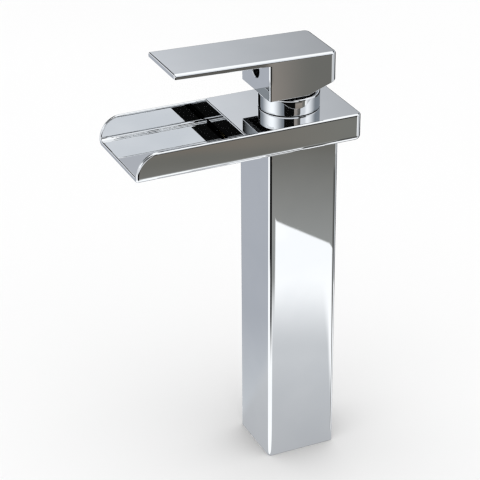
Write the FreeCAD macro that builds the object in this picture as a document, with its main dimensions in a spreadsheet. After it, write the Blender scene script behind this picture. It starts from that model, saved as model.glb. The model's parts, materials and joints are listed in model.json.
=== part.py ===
import FreeCAD, Part
import os

import Sketcher
from FreeCAD import Placement, Rotation, Vector

# Single-lever waterfall faucet for a countertop basin.
# Frame: +Z up, origin at the centre of the column's foot on the counter,
# spout towards -Y, hot side -X, cold side +X. Millimetres.

doc = FreeCAD.newDocument("waterfall_faucet")
sheet = doc.addObject("Spreadsheet::Sheet", "sizes")

# name, value, what it is
TABLE = [
    ("column_width", 50.0, "column across X"),
    ("column_depth", 53.0, "column along Y"),
    ("column_wall", 3.0, "column wall"),
    ("column_edge", 2.4, "rounding of the column's upright edges"),
    ("spout_under", 250.7, "height of the spout's underside"),
    ("spout_thick", 20.3, "spout thickness"),
    ("spout_half", 35.8, "half of the spout's width"),
    ("spout_front", 127.9, "spout tip in front of the column's axis"),
    ("spout_back", 39.2, "spout's rear face behind the axis"),
    ("floor_thick", 3.8, "trough floor"),
    ("trough_wall", 2.8, "trough side wall"),
    ("deck_front", 48.9, "trough's back wall in front of the axis"),
    ("wall_nose", 16.0, "rounding of the trough walls' front ends"),
    ("spout_lower_edge", 4.2, "rounding of the spout's lower edges"),
    ("spout_rear_edge", 4.4, "rounding of the spout's upright rear edges"),
    ("spout_top_edge", 1.5, "rounding of the spout's outer top edges"),
    ("trough_rim_edge", 1.0, "rounding of the trough's inner rims"),
    ("trough_corner", 2.6, "rounding between trough floor and side walls"),
    ("chamber_half", 31.0, "half width of the water chamber and its slot"),
    ("chamber_front", 46.0, "front of the water chamber"),
    ("chamber_back", 24.0, "back of the water chamber"),
    ("chamber_tall", 13.5, "height of the water chamber"),
    ("slot_tall", 3.0, "height of the water slot"),
    ("valve_hole", 19.25, "radius of the valve hole in the deck"),
    ("rod_x", 17.4, "tie rod offset along X"),
    ("rod_y", 19.0, "tie rod offset along Y"),
    ("rod_radius", 2.0, "tie rod radius, M4"),
    ("plate_under", 4.0, "underside of the base plate"),
    ("plate_thick", 10.0, "base plate thickness"),
    ("plate_gap", 0.1, "gap between base plate and column"),
    ("boss_radius", 16.5, "boss under the base plate"),
    ("boss_under", 1.0, "underside of that boss"),
    ("port_x", 8.5, "inlet offset along X"),
    ("port_y", 4.0, "inlet offset towards -Y"),
    ("inlet_radius", 4.5, "wall radius of the M10x1 inlet threads"),
    ("inlet_deep", 8.0, "length of the inlet threads"),
    ("stud_radius", 3.4, "wall radius of the M8 stud thread"),
    ("stud_y", 10.0, "stud hole offset towards +Y"),
    ("tube_radius", 5.0, "riser tube outside radius"),
    ("tube_bore", 4.0, "riser tube inside radius"),
    ("valve_under", 236.0, "underside of the valve body"),
    ("valve_flange", 20.3, "radius of the valve body's lower part"),
    ("valve_upper", 19.2, "radius of the valve body in the deck"),
    ("valve_top", 277.5, "top of the valve body"),
    ("valve_bore", 17.55, "radius of the cartridge bore"),
    ("bore_floor", 259.0, "floor of the cartridge bore"),
    ("seal_floor", 18.1, "floor radius of the outer seal grooves"),
    ("cartridge_radius", 17.3, "cartridge outside radius"),
    ("disc_floor", 262.5, "top of the cartridge base"),
    ("disc_face", 265.0, "sealing face of the fixed disc"),
    ("disc_gap", 0.02, "water film between the discs"),
    ("carrier_under", 267.2, "top of the moving disc"),
    ("carrier_top", 271.3, "top of the disc carrier"),
    ("fixed_radius", 13.5, "fixed disc radius"),
    ("moving_radius", 10.5, "moving disc radius"),
    ("carrier_half", 8.1, "half width of the carrier across its flats"),
    ("housing_roof", 273.0, "underside of the cartridge's roof"),
    ("housing_shoulder", 275.0, "shoulder that the retaining nut presses on"),
    ("housing_neck_top", 282.0, "top of the cartridge's neck"),
    ("neck_radius", 12.6, "outside radius of the cartridge's neck"),
    ("rotor_radius", 10.4, "rotor radius"),
    ("rotor_clearance", 0.05, "running clearance round the rotor"),
    ("rotor_top", 283.2, "top of the rotor"),
    ("pivot_tall", 277.0, "height of the lever's pivot"),
    ("pin_radius", 1.5, "pivot pin radius"),
    ("pin_clearance", 0.04, "running clearance round the pin"),
    ("ball_tall", 270.0, "height of the stem's ball"),
    ("ball_radius", 2.2, "radius of the stem's ball"),
    ("stem_half", 4.0, "half width of the stem's square"),
    ("stem_top", 308.0, "top of the stem"),
    ("bonnet_radius", 21.7, "bonnet outside radius"),
    ("bonnet_bore", 20.5, "bonnet inside radius"),
    ("bonnet_top", 283.7, "top of the bonnet"),
    ("bonnet_mouth", 13.4, "radius of the opening in the bonnet's top"),
    ("bonnet_edge", 2.0, "rounding of the bonnet's shoulder"),
    ("deck_seal_thick", 0.4, "rubber ring between bonnet and deck"),
    ("handle_half", 23.3, "half of the handle's width"),
    ("handle_tip", 94.7, "handle tip in front of the axis"),
    ("handle_back", 25.6, "handle's rear face behind the axis"),
    ("handle_top_back", 314.7, "top of the handle at the rear"),
    ("handle_top_tip", 318.3, "top of the handle at the tip"),
    ("tip_thick", 3.7, "handle thickness at the tip"),
    ("root_under", 312.0, "underside of the plate where it meets the block"),
    ("block_front", 25.4, "block's front face in front of the axis"),
    ("block_under", 286.1, "underside of the block"),
    ("relief_start", 3.7, "where the block's underside starts to rise"),
    ("relief_back", 293.9, "height of the block's lower rear edge"),
    ("handle_top_edge", 2.2, "rounding of the handle's top edges"),
    ("handle_rear_edge", 4.6, "rounding of the handle's upright rear edges"),
    ("handle_tip_edge", 1.2, "rounding round the handle's tip face"),
    ("block_front_edge", 1.6, "rounding of the block's upright front edges"),
    ("shell_half", 20.0, "half width of the hollow in the block"),
    ("shell_front", 22.0, "front of that hollow"),
    ("shell_back", 22.4, "back of that hollow"),
    ("shell_roof", 310.4, "roof of that hollow"),
    ("socket_half", 7.4, "half width of the boss that holds the stem"),
    ("socket_under", 290.0, "underside of that boss"),
    ("screw_hole_tall", 302.0, "height of the set screw"),
    ("screw_hole_radius", 6.0, "counterbore over the set screw"),
    ("screw_hole_deep", 5.0, "depth of that counterbore"),
    ("screw_radius", 4.0, "set screw radius, M8"),
]

value = {}
for row, (name, number, note) in enumerate(TABLE, start=1):
    sheet.set("A%d" % row, note)
    sheet.set("B%d" % row, str(number))
    sheet.setAlias("B%d" % row, name)
    value[name] = number
doc.recompute()


class Size:
    """A length with the sheet formula that gives it."""

    def __init__(self, number, text):
        self.number = float(number)
        self.text = text

    def __add__(self, other):
        o = as_size(other)
        return Size(self.number + o.number, "(%s + %s)" % (self.text, o.text))

    __radd__ = __add__

    def __sub__(self, other):
        o = as_size(other)
        return Size(self.number - o.number, "(%s - %s)" % (self.text, o.text))

    def __rsub__(self, other):
        return as_size(other) - self

    def __mul__(self, other):
        o = as_size(other)
        return Size(self.number * o.number, "(%s * %s)" % (self.text, o.text))

    __rmul__ = __mul__

    def __truediv__(self, other):
        o = as_size(other)
        return Size(self.number / o.number, "(%s / %s)" % (self.text, o.text))

    def __neg__(self):
        return Size(-self.number, "(0 - %s)" % self.text)


def as_size(x):
    return x if isinstance(x, Size) else Size(x, "%.6f" % float(x))


def D(name):
    return Size(value[name], "sizes." + name)


made = []  # every sub-part, in order


def part(obj, label):
    obj.Label = label
    made.append(obj)
    return obj


def bind(obj, prop, size):
    size = as_size(size)
    if size.text.startswith("sizes.") or "sizes." in size.text:
        obj.setExpression(prop, size.text)
    else:
        target, last = obj, prop
        if "." in prop:
            obj.setExpression(prop, size.text)
        else:
            setattr(target, last, size.number)


# ---------------------------------------------------------------- sketches


def new_body(name):
    return doc.addObject("PartDesign::Body", name)


def plane_of(body, role):
    for f in body.Origin.OriginFeatures:
        if f.Role == role:
            return f


def new_sketch(body, name, role="XY_Plane", offset=None):
    sk = body.newObject("Sketcher::SketchObject", name)
    sk.AttachmentSupport = [(plane_of(body, role), "")]
    sk.MapMode = "FlatFace"
    if offset is not None:
        sk.setExpression("AttachmentOffset.Base.z", as_size(offset).text)
    return sk


def pin_point(sk, geo, pos, x, y):
    """Holds one point of a sketch at x, y from the sketch's origin."""
    for kind, axis, size in (("DistanceX", -2, as_size(x)), ("DistanceY", -1, as_size(y))):
        if abs(size.number) < 1e-9:
            sk.addConstraint(Sketcher.Constraint("PointOnObject", geo, pos, axis))
            continue
        if size.number > 0:
            i = sk.addConstraint(Sketcher.Constraint(kind, -1, 1, geo, pos, size.number))
            text = size.text
        else:
            i = sk.addConstraint(Sketcher.Constraint(kind, geo, pos, -1, 1, -size.number))
            text = (-size).text
        sk.setExpression("Constraints[%d]" % i, text)


def polygon(sk, points):
    """A closed outline through the given points."""
    pts = [(as_size(x), as_size(y)) for x, y in points]
    n = len(pts)
    ids = []
    for k in range(n):
        a, b = pts[k], pts[(k + 1) % n]
        ids.append(
            sk.addGeometry(
                Part.LineSegment(
                    Vector(a[0].number, a[1].number, 0), Vector(b[0].number, b[1].number, 0)
                ),
                False,
            )
        )
    for k in range(n):
        sk.addConstraint(Sketcher.Constraint("Coincident", ids[k], 2, ids[(k + 1) % n], 1))
    for k in range(n):
        pin_point(sk, ids[k], 1, *pts[k])


def rectangle(sk, x0, x1, y0, y1):
    polygon(sk, [(x0, y0), (x1, y0), (x1, y1), (x0, y1)])


def circle(sk, x, y, r):
    x, y, r = as_size(x), as_size(y), as_size(r)
    g = sk.addGeometry(
        Part.Circle(Vector(x.number, y.number, 0), Vector(0, 0, 1), r.number), False
    )
    pin_point(sk, g, 3, x, y)
    i = sk.addConstraint(Sketcher.Constraint("Radius", g, r.number))
    sk.setExpression("Constraints[%d]" % i, r.text)


def volume_of(body):
    tip = body.Tip
    if tip is None or tip.Shape.isNull():
        return 0.0
    return tip.Shape.Volume


def pad(body, sk, length, name, reverse=False):
    before = volume_of(body)
    f = body.newObject("PartDesign::Pad", name)
    f.Profile = sk
    bind(f, "Length", length)
    f.Reversed = reverse
    doc.recompute()
    if volume_of(body) <= before + 1e-6:
        raise RuntimeError("%s adds nothing" % name)
    return f


def pocket(body, sk, length, name, reverse=False):
    """Cuts against the sketch's normal, or along it with reverse; length None goes through."""
    before = volume_of(body)
    f = body.newObject("PartDesign::Pocket", name)
    f.Profile = sk
    if length is None:
        f.Type = "ThroughAll"
    else:
        bind(f, "Length", length)
    f.Reversed = reverse
    doc.recompute()
    if volume_of(body) >= before - 1e-6:
        raise RuntimeError("%s cuts nothing" % name)
    return f


def revolve(body, sk, name):
    f = body.newObject("PartDesign::Revolution", name)
    f.Profile = sk
    f.ReferenceAxis = (sk, ["V_Axis"])
    f.Angle = 360.0
    doc.recompute()
    return f


def edges_where(shape, test):
    names = []
    for i, e in enumerate(shape.Edges, start=1):
        b = e.BoundBox
        if test(b, e):
            names.append("Edge%d" % i)
    return names


def fillet(body, test, radius, name, kind="PartDesign::Fillet"):
    base = body.Tip
    names = edges_where(base.Shape, test)
    if not names:
        raise RuntimeError("%s finds no edge" % name)
    f = body.newObject(kind, name)
    f.Base = (base, names)
    bind(f, "Radius" if kind.endswith("Fillet") else "Size", radius)
    doc.recompute()
    if f.Shape.isNull() or not f.Shape.isValid() or "Invalid" in f.State:
        raise RuntimeError("%s fails on %s" % (name, names))
    return f


def chamfer(body, test, size, name):
    return fillet(body, test, size, name, "PartDesign::Chamfer")


def near(a, b, tol=0.02):
    return abs(a - b) < tol


def upright(b, x=None, y=None):
    """True for a straight edge along Z at x, y."""
    return (
        b.XLength < 1e-3
        and b.YLength < 1e-3
        and b.ZLength > 0.5
        and (x is None or near(abs(b.XMin), x))
        and (y is None or near(b.YMin, y))
    )


# ---------------------------------------------------------------- solids


def cylinder(name, r, z0, z1, x=0.0, y=0.0):
    c = doc.addObject("Part::Cylinder", name)
    z0, z1 = as_size(z0), as_size(z1)
    bind(c, "Radius", r)
    bind(c, "Height", z1 - z0)
    c.setExpression("Placement.Base.x", as_size(x).text)
    c.setExpression("Placement.Base.y", as_size(y).text)
    c.setExpression("Placement.Base.z", z0.text)
    return c


def box(name, x0, x1, y0, y1, z0, z1):
    b = doc.addObject("Part::Box", name)
    for axis, lo, hi, size in (
        ("x", x0, x1, "Length"),
        ("y", y0, y1, "Width"),
        ("z", z0, z1, "Height"),
    ):
        lo, hi = as_size(lo), as_size(hi)
        bind(b, size, hi - lo)
        b.setExpression("Placement.Base." + axis, lo.text)
    return b


def cut(name, base, tool):
    c = doc.addObject("Part::Cut", name)
    c.Base, c.Tool = base, tool
    return c


def fuse(name, *objs):
    f = doc.addObject("Part::MultiFuse", name)
    f.Shapes = list(objs)
    return f


def ring(name, r_in, r_out, z0, z1, x=0.0, y=0.0):
    return cut(
        name,
        cylinder(name + "_outside", r_out, z0, z1, x, y),
        cylinder(name + "_inside", r_in, as_size(z0) - 1, as_size(z1) + 1, x, y),
    )


def torus(name, major, minor, z, x=0.0, y=0.0):
    o = doc.addObject("Part::Torus", name)
    bind(o, "Radius1", major)
    bind(o, "Radius2", minor)
    o.setExpression("Placement.Base.x", as_size(x).text)
    o.setExpression("Placement.Base.y", as_size(y).text)
    o.setExpression("Placement.Base.z", as_size(z).text)
    return o


def group(name, *objs):
    g = doc.addObject("Part::Compound", name)
    g.Links = list(objs)
    return g


deck = D("spout_under") + D("spout_thick")
trough_floor = D("spout_under") + D("floor_thick")
inner_x = D("column_width") / 2 - D("column_wall")
inner_y = D("column_depth") / 2 - D("column_wall")

# ---------------------------------------------------------------- column shell
# Square brass tube, polished outside, open at both ends.
b = new_body("column_shell_body")
sk = new_sketch(b, "column_outline")
rectangle(
    sk,
    -D("column_width") / 2,
    D("column_width") / 2,
    -D("column_depth") / 2,
    D("column_depth") / 2,
)
pad(b, sk, D("spout_under"), "column_outer")
fillet(b, lambda bb, e: upright(bb), D("column_edge"), "column_outer_edges")
sk = new_sketch(b, "column_inside")
rectangle(sk, -inner_x, inner_x, -inner_y, inner_y)
pocket(b, sk, None, "column_hollow", reverse=True)
fillet(
    b,
    lambda bb, e: upright(bb, inner_x.number) and near(abs(bb.YMin), inner_y.number),
    1.0,
    "column_inner_edges",
)
part(b, "column_shell")

# ---------------------------------------------------------------- base plate
# Closes the column's foot: two threaded hose inlets, the stud thread and two rod holes.
b = new_body("base_plate_body")
sk = new_sketch(b, "plate_outline", offset=D("plate_under"))
px, py = inner_x - D("plate_gap"), inner_y - D("plate_gap")
rectangle(sk, -px, px, -py, py)
pad(b, sk, D("plate_thick"), "plate")
fillet(b, lambda bb, e: upright(bb), 1.4, "plate_corners")
sk = new_sketch(b, "plate_boss_outline", offset=D("boss_under"))
circle(sk, 0, 0, D("boss_radius"))
pad(b, sk, D("plate_under") - D("boss_under") + 1, "plate_boss")
sk = new_sketch(b, "inlet_circles", offset=D("boss_under"))
circle(sk, -D("port_x"), -D("port_y"), D("inlet_radius"))
circle(sk, D("port_x"), -D("port_y"), D("inlet_radius"))
pocket(b, sk, D("inlet_deep"), "inlet_threads", reverse=True)
plate_top = D("plate_under") + D("plate_thick")
sk = new_sketch(b, "tube_socket_circles", offset=plate_top)
circle(sk, -D("port_x"), -D("port_y"), D("tube_radius"))
circle(sk, D("port_x"), -D("port_y"), D("tube_radius"))
pocket(b, sk, plate_top - D("boss_under") - D("inlet_deep"), "tube_sockets")
sk = new_sketch(b, "stud_circle", offset=plate_top)
circle(sk, 0, D("stud_y"), D("stud_radius"))
pocket(b, sk, None, "stud_thread")
sk = new_sketch(b, "rod_circles", offset=plate_top)
circle(sk, -D("rod_x"), -D("rod_y"), D("rod_radius") + 0.1)
circle(sk, D("rod_x"), D("rod_y"), D("rod_radius") + 0.1)
pocket(b, sk, None, "rod_clearance_holes")
part(b, "base_plate")

# ---------------------------------------------------------------- base seal
# Rubber ring round the boss, pressed between base plate and counter.
b = new_body("base_seal_body")
sk = new_sketch(b, "base_seal_section", "XZ_Plane")
r0, r1 = D("boss_radius") + 0.1, D("boss_radius") + 2.7
polygon(
    sk,
    [
        (r0, 0.6),
        (r0 + 0.5, 0.2),
        (r1 - 0.5, 0.2),
        (r1, 0.6),
        (r1, D("plate_under") - 0.4),
        (r1 - 0.4, D("plate_under")),
        (r0, D("plate_under")),
    ],
)
revolve(b, sk, "base_seal_ring")
part(b, "base_seal")

# ---------------------------------------------------------------- tie rods, nuts, washers
rod_top = D("spout_under") + 7.5
part(
    group(
        "tie_rods_pair",
        cylinder("rod_front", D("rod_radius"), 0.4, rod_top, -D("rod_x"), -D("rod_y")),
        cylinder("rod_rear", D("rod_radius"), 0.4, rod_top, D("rod_x"), D("rod_y")),
    ),
    "tie_rods",
)
part(
    group(
        "tie_rod_washers_pair",
        ring(
            "washer_front",
            D("rod_radius") + 0.15,
            4.2,
            D("plate_under") - 0.5,
            D("plate_under"),
            -D("rod_x"),
            -D("rod_y"),
        ),
        ring(
            "washer_rear",
            D("rod_radius") + 0.15,
            4.2,
            D("plate_under") - 0.5,
            D("plate_under"),
            D("rod_x"),
            D("rod_y"),
        ),
    ),
    "tie_rod_washers",
)


def hex_nut(name, x, y):
    p = doc.addObject("Part::Prism", name + "_hexagon")
    p.Polygon = 6
    p.Circumradius = 7.0 / 2 / 0.8660254
    bind(p, "Height", 3.0)
    p.setExpression("Placement.Base.x", x.text)
    p.setExpression("Placement.Base.y", y.text)
    p.setExpression("Placement.Base.z", (D("plate_under") - 3.5).text)
    return cut(name, p, cylinder(name + "_thread", D("rod_radius") + 0.02, 0.0, 5.0, x, y))


part(
    group(
        "tie_rod_nuts_pair",
        hex_nut("nut_front", -D("rod_x"), -D("rod_y")),
        hex_nut("nut_rear", D("rod_x"), D("rod_y")),
    ),
    "tie_rod_nuts",
)

# ---------------------------------------------------------------- riser tubes
socket_top = D("valve_under") + 11
tube_low = D("boss_under") + D("inlet_deep")
for side, sign in (("hot", -1.0), ("cold", 1.0)):
    part(
        ring(
            side + "_riser",
            D("tube_bore"),
            D("tube_radius"),
            tube_low,
            socket_top - 0.5,
            D("port_x") * sign,
            -D("port_y"),
        ),
        side + "_riser_tube",
    )
part(
    group(
        "riser_o_rings_pair",
        torus("riser_seal_hot", 5.95, 0.88, D("valve_under") + 5, -D("port_x"), -D("port_y")),
        torus("riser_seal_cold", 5.95, 0.88, D("valve_under") + 5, D("port_x"), -D("port_y")),
    ),
    "riser_o_rings",
)

# ---------------------------------------------------------------- valve body
# Turned brass insert: tube sockets below, outlet passage towards the spout, cartridge bore above.
b = new_body("valve_body_body")
sk = new_sketch(b, "valve_section", "XZ_Plane")
vu, vf, vt, vb = D("valve_upper"), D("valve_flange"), D("valve_top"), D("valve_bore")
g0 = D("spout_under") + 0.8
g1 = deck - 2.1
polygon(
    sk,
    [
        (0, D("valve_under")),
        (vf, D("valve_under")),
        (vf, D("spout_under")),
        (vu, D("spout_under")),
        (vu, g0),
        (D("seal_floor"), g0),
        (D("seal_floor"), g0 + 1.3),
        (vu, g0 + 1.3),
        (vu, g1),
        (D("seal_floor"), g1),
        (D("seal_floor"), g1 + 1.3),
        (vu, g1 + 1.3),
        (vu, vt),
        (vb, vt),
        (vb, D("bore_floor")),
        (0, D("bore_floor")),
    ],
)
revolve(b, sk, "valve_turned")
sk = new_sketch(b, "valve_socket_circles", offset=D("valve_under"))
circle(sk, -D("port_x"), -D("port_y"), D("tube_radius") + 0.05)
circle(sk, D("port_x"), -D("port_y"), D("tube_radius") + 0.05)
pocket(b, sk, 11.0, "valve_sockets", reverse=True)
sk = new_sketch(b, "valve_seal_hot", offset=D("valve_under") + 6)
circle(sk, -D("port_x"), -D("port_y"), 6.9)
pocket(b, sk, 2.0, "valve_seal_groove_hot")
sk = new_sketch(b, "valve_seal_cold", offset=D("valve_under") + 6)
circle(sk, D("port_x"), -D("port_y"), 6.9)
pocket(b, sk, 2.0, "valve_seal_groove_cold")
sk = new_sketch(b, "valve_inlet_circles", offset=D("bore_floor"))
circle(sk, -D("port_x"), -D("port_y"), 3.0)
circle(sk, D("port_x"), -D("port_y"), 3.0)
pocket(b, sk, D("bore_floor") - socket_top, "valve_inlets")
sk = new_sketch(b, "valve_outlet_circle", offset=D("bore_floor"))
circle(sk, 0, 6.5, 3.2)
pocket(b, sk, D("bore_floor") - trough_floor - 0.1, "valve_outlet")
sk = new_sketch(b, "valve_outlet_slot", offset=D("bore_floor") - 1.4)
rectangle(sk, -4.5, 4.5, -21.0, 8.0)
pocket(b, sk, D("bore_floor") - 1.4 - trough_floor - 0.1, "valve_outlet_passage")
part(b, "valve_body")

part(
    group(
        "valve_body_o_rings_pair",
        torus("valve_seal_low", 18.67, 0.54, g0 + 0.65),
        torus("valve_seal_high", 18.67, 0.54, g1 + 0.65),
    ),
    "valve_body_o_rings",
)

# Ring nut that pulls the valve body's flange up against the spout.
b = new_body("clamp_ring_nut_body")
sk = new_sketch(b, "clamp_ring_outline", offset=deck)
circle(sk, 0, 0, D("bonnet_bore") - 0.1)
circle(sk, 0, 0, D("valve_upper") + 0.02)
pad(b, sk, 3.5, "clamp_ring")
sk = new_sketch(b, "clamp_ring_notch", offset=deck + 3.5)
rectangle(sk, -1.5, 1.5, 18.0, 22.0)
k = pocket(b, sk, 1.4, "clamp_ring_slot")
pp = b.newObject("PartDesign::PolarPattern", "clamp_ring_slots")
pp.Originals = [k]
pp.Axis = (sk, ["N_Axis"])
pp.Angle = 360
pp.Occurrences = 6
b.Tip = pp
doc.recompute()
part(b, "clamp_ring_nut")

# ---------------------------------------------------------------- spout body
# One casting: open trough in front, closed deck with the water chamber behind.
b = new_body("spout_body_body")
sk = new_sketch(b, "spout_outline", offset=D("spout_under"))
sh, sf, sb = D("spout_half"), D("spout_front"), D("spout_back")
rectangle(sk, -sh, sh, -sf, sb)
pad(b, sk, D("spout_thick"), "spout_block")
sk = new_sketch(b, "trough_outline", offset=deck)
tx = sh - D("trough_wall")
rectangle(sk, -tx, tx, -sf - 5, -D("deck_front"))
pocket(b, sk, D("spout_thick") - D("floor_thick"), "trough")
# rounded front ends of the trough walls
fillet(
    b,
    lambda bb, e: near(bb.YMin, -sf.number)
    and bb.YLength < 1e-3
    and bb.ZLength < 1e-3
    and near(bb.ZMin, deck.number)
    and bb.XLength < 5,
    D("wall_nose"),
    "wall_noses",
)
# upright rear edges
fillet(
    b,
    lambda bb, e: upright(bb, sh.number, sb.number),
    D("spout_rear_edge"),
    "spout_rear_edges",
)
# lower edges of the sides and the rear
fillet(
    b,
    lambda bb, e: near(bb.ZMin, D("spout_under").number)
    and bb.ZLength < 1e-3
    and not (bb.YLength < 1e-3 and near(bb.YMin, -sf.number)),
    D("spout_lower_edge"),
    "spout_lower_edges",
)
# corners between trough floor and side walls
fillet(
    b,
    lambda bb, e: near(bb.ZMin, trough_floor.number)
    and bb.ZLength < 1e-3
    and bb.XLength < 1e-3
    and near(abs(bb.XMin), tx.number),
    D("trough_corner"),
    "trough_corners",
)
# inner rims, then outer rims
def on_deck(bb):
    return near(bb.ZMin, deck.number) and bb.ZLength < 1e-3


def by_trough(bb):
    return (bb.XLength < 1e-3 and near(abs(bb.XMin), tx.number)) or (
        bb.YLength < 1e-3 and near(bb.YMin, -D("deck_front").number)
    )


fillet(
    b,
    lambda bb, e: on_deck(bb) and by_trough(bb),
    D("trough_rim_edge"),
    "trough_rims",
)
fillet(
    b,
    lambda bb, e: (on_deck(bb) and (near(abs(bb.XMin), sh.number) or near(abs(bb.XMax), sh.number)))
    or (
        bb.XLength < 1e-3
        and near(abs(bb.XMin), sh.number)
        and near(bb.ZMax, deck.number)
        and bb.ZLength > 10
        and bb.YMax < -100
    ),
    D("spout_top_edge"),
    "spout_rims",
)
sk = new_sketch(b, "chamber_outline", offset=trough_floor + D("chamber_tall"))
ch = D("chamber_half")
polygon(
    sk,
    [
        (-ch, -D("chamber_front")),
        (ch, -D("chamber_front")),
        (ch, -D("chamber_back")),
        (8.0, -D("chamber_back")),
        (8.0, -14.0),
        (-8.0, -14.0),
        (-8.0, -D("chamber_back")),
        (-ch, -D("chamber_back")),
    ],
)
pocket(b, sk, D("chamber_tall"), "chamber")
sk = new_sketch(b, "slot_outline", offset=trough_floor + D("slot_tall"))
rectangle(sk, -ch, ch, -D("deck_front") - 3, -D("chamber_front") + 2)
pocket(b, sk, D("slot_tall"), "water_slot")
sk = new_sketch(b, "valve_hole_circle", offset=deck)
circle(sk, 0, 0, D("valve_hole"))
pocket(b, sk, None, "valve_hole")
sk = new_sketch(b, "rod_thread_circles", offset=D("spout_under"))
circle(sk, -D("rod_x"), -D("rod_y"), D("rod_radius") + 0.02)
circle(sk, D("rod_x"), D("rod_y"), D("rod_radius") + 0.02)
pocket(b, sk, 8.0, "rod_threads", reverse=True)
part(b, "spout_body")

# ---------------------------------------------------------------- ceramic cartridge
# Base with the two inlet ports and the outlet port, and pockets for their seals.
b = new_body("cartridge_base_body")
sk = new_sketch(b, "cartridge_base_outline", offset=D("bore_floor"))
circle(sk, 0, 0, D("cartridge_radius"))
pad(b, sk, D("disc_floor") - D("bore_floor"), "cartridge_base_disc")
sk = new_sketch(b, "cartridge_ports", offset=D("disc_floor"))
circle(sk, -D("port_x"), -D("port_y"), 2.8)
circle(sk, D("port_x"), -D("port_y"), 2.8)
circle(sk, 0, 6.5, 2.8)
pocket(b, sk, None, "cartridge_port_holes")
sk = new_sketch(b, "cartridge_seal_pockets", offset=D("bore_floor"))
circle(sk, -D("port_x"), -D("port_y"), 4.6)
circle(sk, D("port_x"), -D("port_y"), 4.6)
circle(sk, 0, 6.5, 4.6)
pocket(b, sk, 1.5, "cartridge_seal_seats", reverse=True)
part(b, "cartridge_base")

z0, z1 = D("bore_floor"), D("bore_floor") + 1.5
part(
    group(
        "cartridge_seals_set",
        ring("port_seal_hot", 3.25, 4.55, z0, z1, -D("port_x"), -D("port_y")),
        ring("port_seal_cold", 3.25, 4.55, z0, z1, D("port_x"), -D("port_y")),
        ring("port_seal_out", 3.25, 4.55, z0, z1, 0, 6.5),
    ),
    "cartridge_seals",
)

b = new_body("fixed_disc_body")
sk = new_sketch(b, "fixed_disc_outline", offset=D("disc_floor"))
circle(sk, 0, 0, D("fixed_radius"))
circle(sk, -D("port_x"), -D("port_y"), 2.6)
circle(sk, D("port_x"), -D("port_y"), 2.6)
circle(sk, 0, 6.5, 2.6)
pad(b, sk, D("disc_face") - D("disc_floor"), "fixed_disc_plate")
part(b, "fixed_disc")

# The recess under the moving disc joins the inlets to the outlet as it slides forward.
b = new_body("moving_disc_body")
low = D("disc_face") + D("disc_gap")
sk = new_sketch(b, "moving_disc_outline", offset=low)
circle(sk, 0, 0, D("moving_radius"))
pad(b, sk, D("carrier_under") - low, "moving_disc_plate")
sk = new_sketch(b, "moving_disc_recess_outline", offset=low)
polygon(sk, [(-7.5, -0.4), (7.5, -0.4), (7.5, 4.5), (3.5, 8.6), (-3.5, 8.6), (-7.5, 4.5)])
pocket(b, sk, 1.2, "moving_disc_recess", reverse=True)
part(b, "moving_disc")

b = new_body("disc_carrier_body")
sk = new_sketch(b, "carrier_outline", offset=D("carrier_under"))
circle(sk, 0, 0, D("moving_radius") + 0.3)
pad(b, sk, D("carrier_top") - D("carrier_under"), "carrier_disc")
sk = new_sketch(b, "carrier_flat_outlines", offset=D("carrier_top"))
rectangle(sk, D("carrier_half"), 13.0, -9.0, 9.0)
rectangle(sk, -13.0, -D("carrier_half"), -9.0, 9.0)
pocket(b, sk, None, "carrier_flats")
sk = new_sketch(b, "carrier_socket_circle", offset=D("carrier_top"))
circle(sk, 0, 0, D("ball_radius") + 0.12)
pocket(b, sk, D("carrier_top") - D("carrier_under") - 0.3, "carrier_socket")
part(b, "disc_carrier")

b = new_body("cartridge_housing_body")
sk = new_sketch(b, "housing_section", "XZ_Plane")
cr, nr = D("cartridge_radius"), D("neck_radius")
rr = D("rotor_radius") + D("rotor_clearance")
polygon(
    sk,
    [
        (cr - 2.1, D("disc_floor")),
        (cr, D("disc_floor")),
        (cr, D("housing_shoulder")),
        (nr, D("housing_shoulder")),
        (nr, D("housing_neck_top")),
        (rr, D("housing_neck_top")),
        (rr, D("housing_roof")),
        (cr - 2.1, D("housing_roof")),
    ],
)
revolve(b, sk, "housing_turned")
part(b, "cartridge_housing")

# Rotor: turns with the lever, carries the pivot pin, drives the carrier with two tabs.
b = new_body("swivel_guide_body")
sk = new_sketch(b, "rotor_flange_outline", offset=D("housing_roof") - 1.3)
circle(sk, 0, 0, 12.5)
pad(b, sk, 1.1, "rotor_flange")
sk = new_sketch(b, "rotor_neck_outline", offset=D("housing_roof") - 0.2)
circle(sk, 0, 0, D("rotor_radius"))
pad(b, sk, D("rotor_top") - D("housing_roof") + 0.2, "rotor_neck")
sk = new_sketch(b, "rotor_tab_outlines", offset=D("carrier_under") + 1)
rectangle(sk, D("carrier_half") + 0.2, D("carrier_half") + 1.7, -4.0, 4.0)
rectangle(sk, -D("carrier_half") - 1.7, -D("carrier_half") - 0.2, -4.0, 4.0)
pad(b, sk, D("housing_roof") - 1.3 - D("carrier_under") - 1, "rotor_tabs")
sk = new_sketch(b, "rotor_lug_outline", offset=D("housing_neck_top") + 0.2)
rectangle(sk, -1.5, 1.5, -12.2, -9.0)
pad(b, sk, D("rotor_top") - D("housing_neck_top") - 0.2, "rotor_stop_lug")
sk = new_sketch(b, "rotor_slot_outline", offset=D("rotor_top"))
rectangle(sk, -4.2, 4.2, -5.5, 6.8)
pocket(b, sk, None, "rotor_slot")
sk = new_sketch(b, "rotor_pin_circle", "YZ_Plane", offset=-12.0)
circle(sk, 0, D("pivot_tall"), D("pin_radius"))
pocket(b, sk, None, "rotor_pin_hole", reverse=True)
part(b, "swivel_guide")

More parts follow.
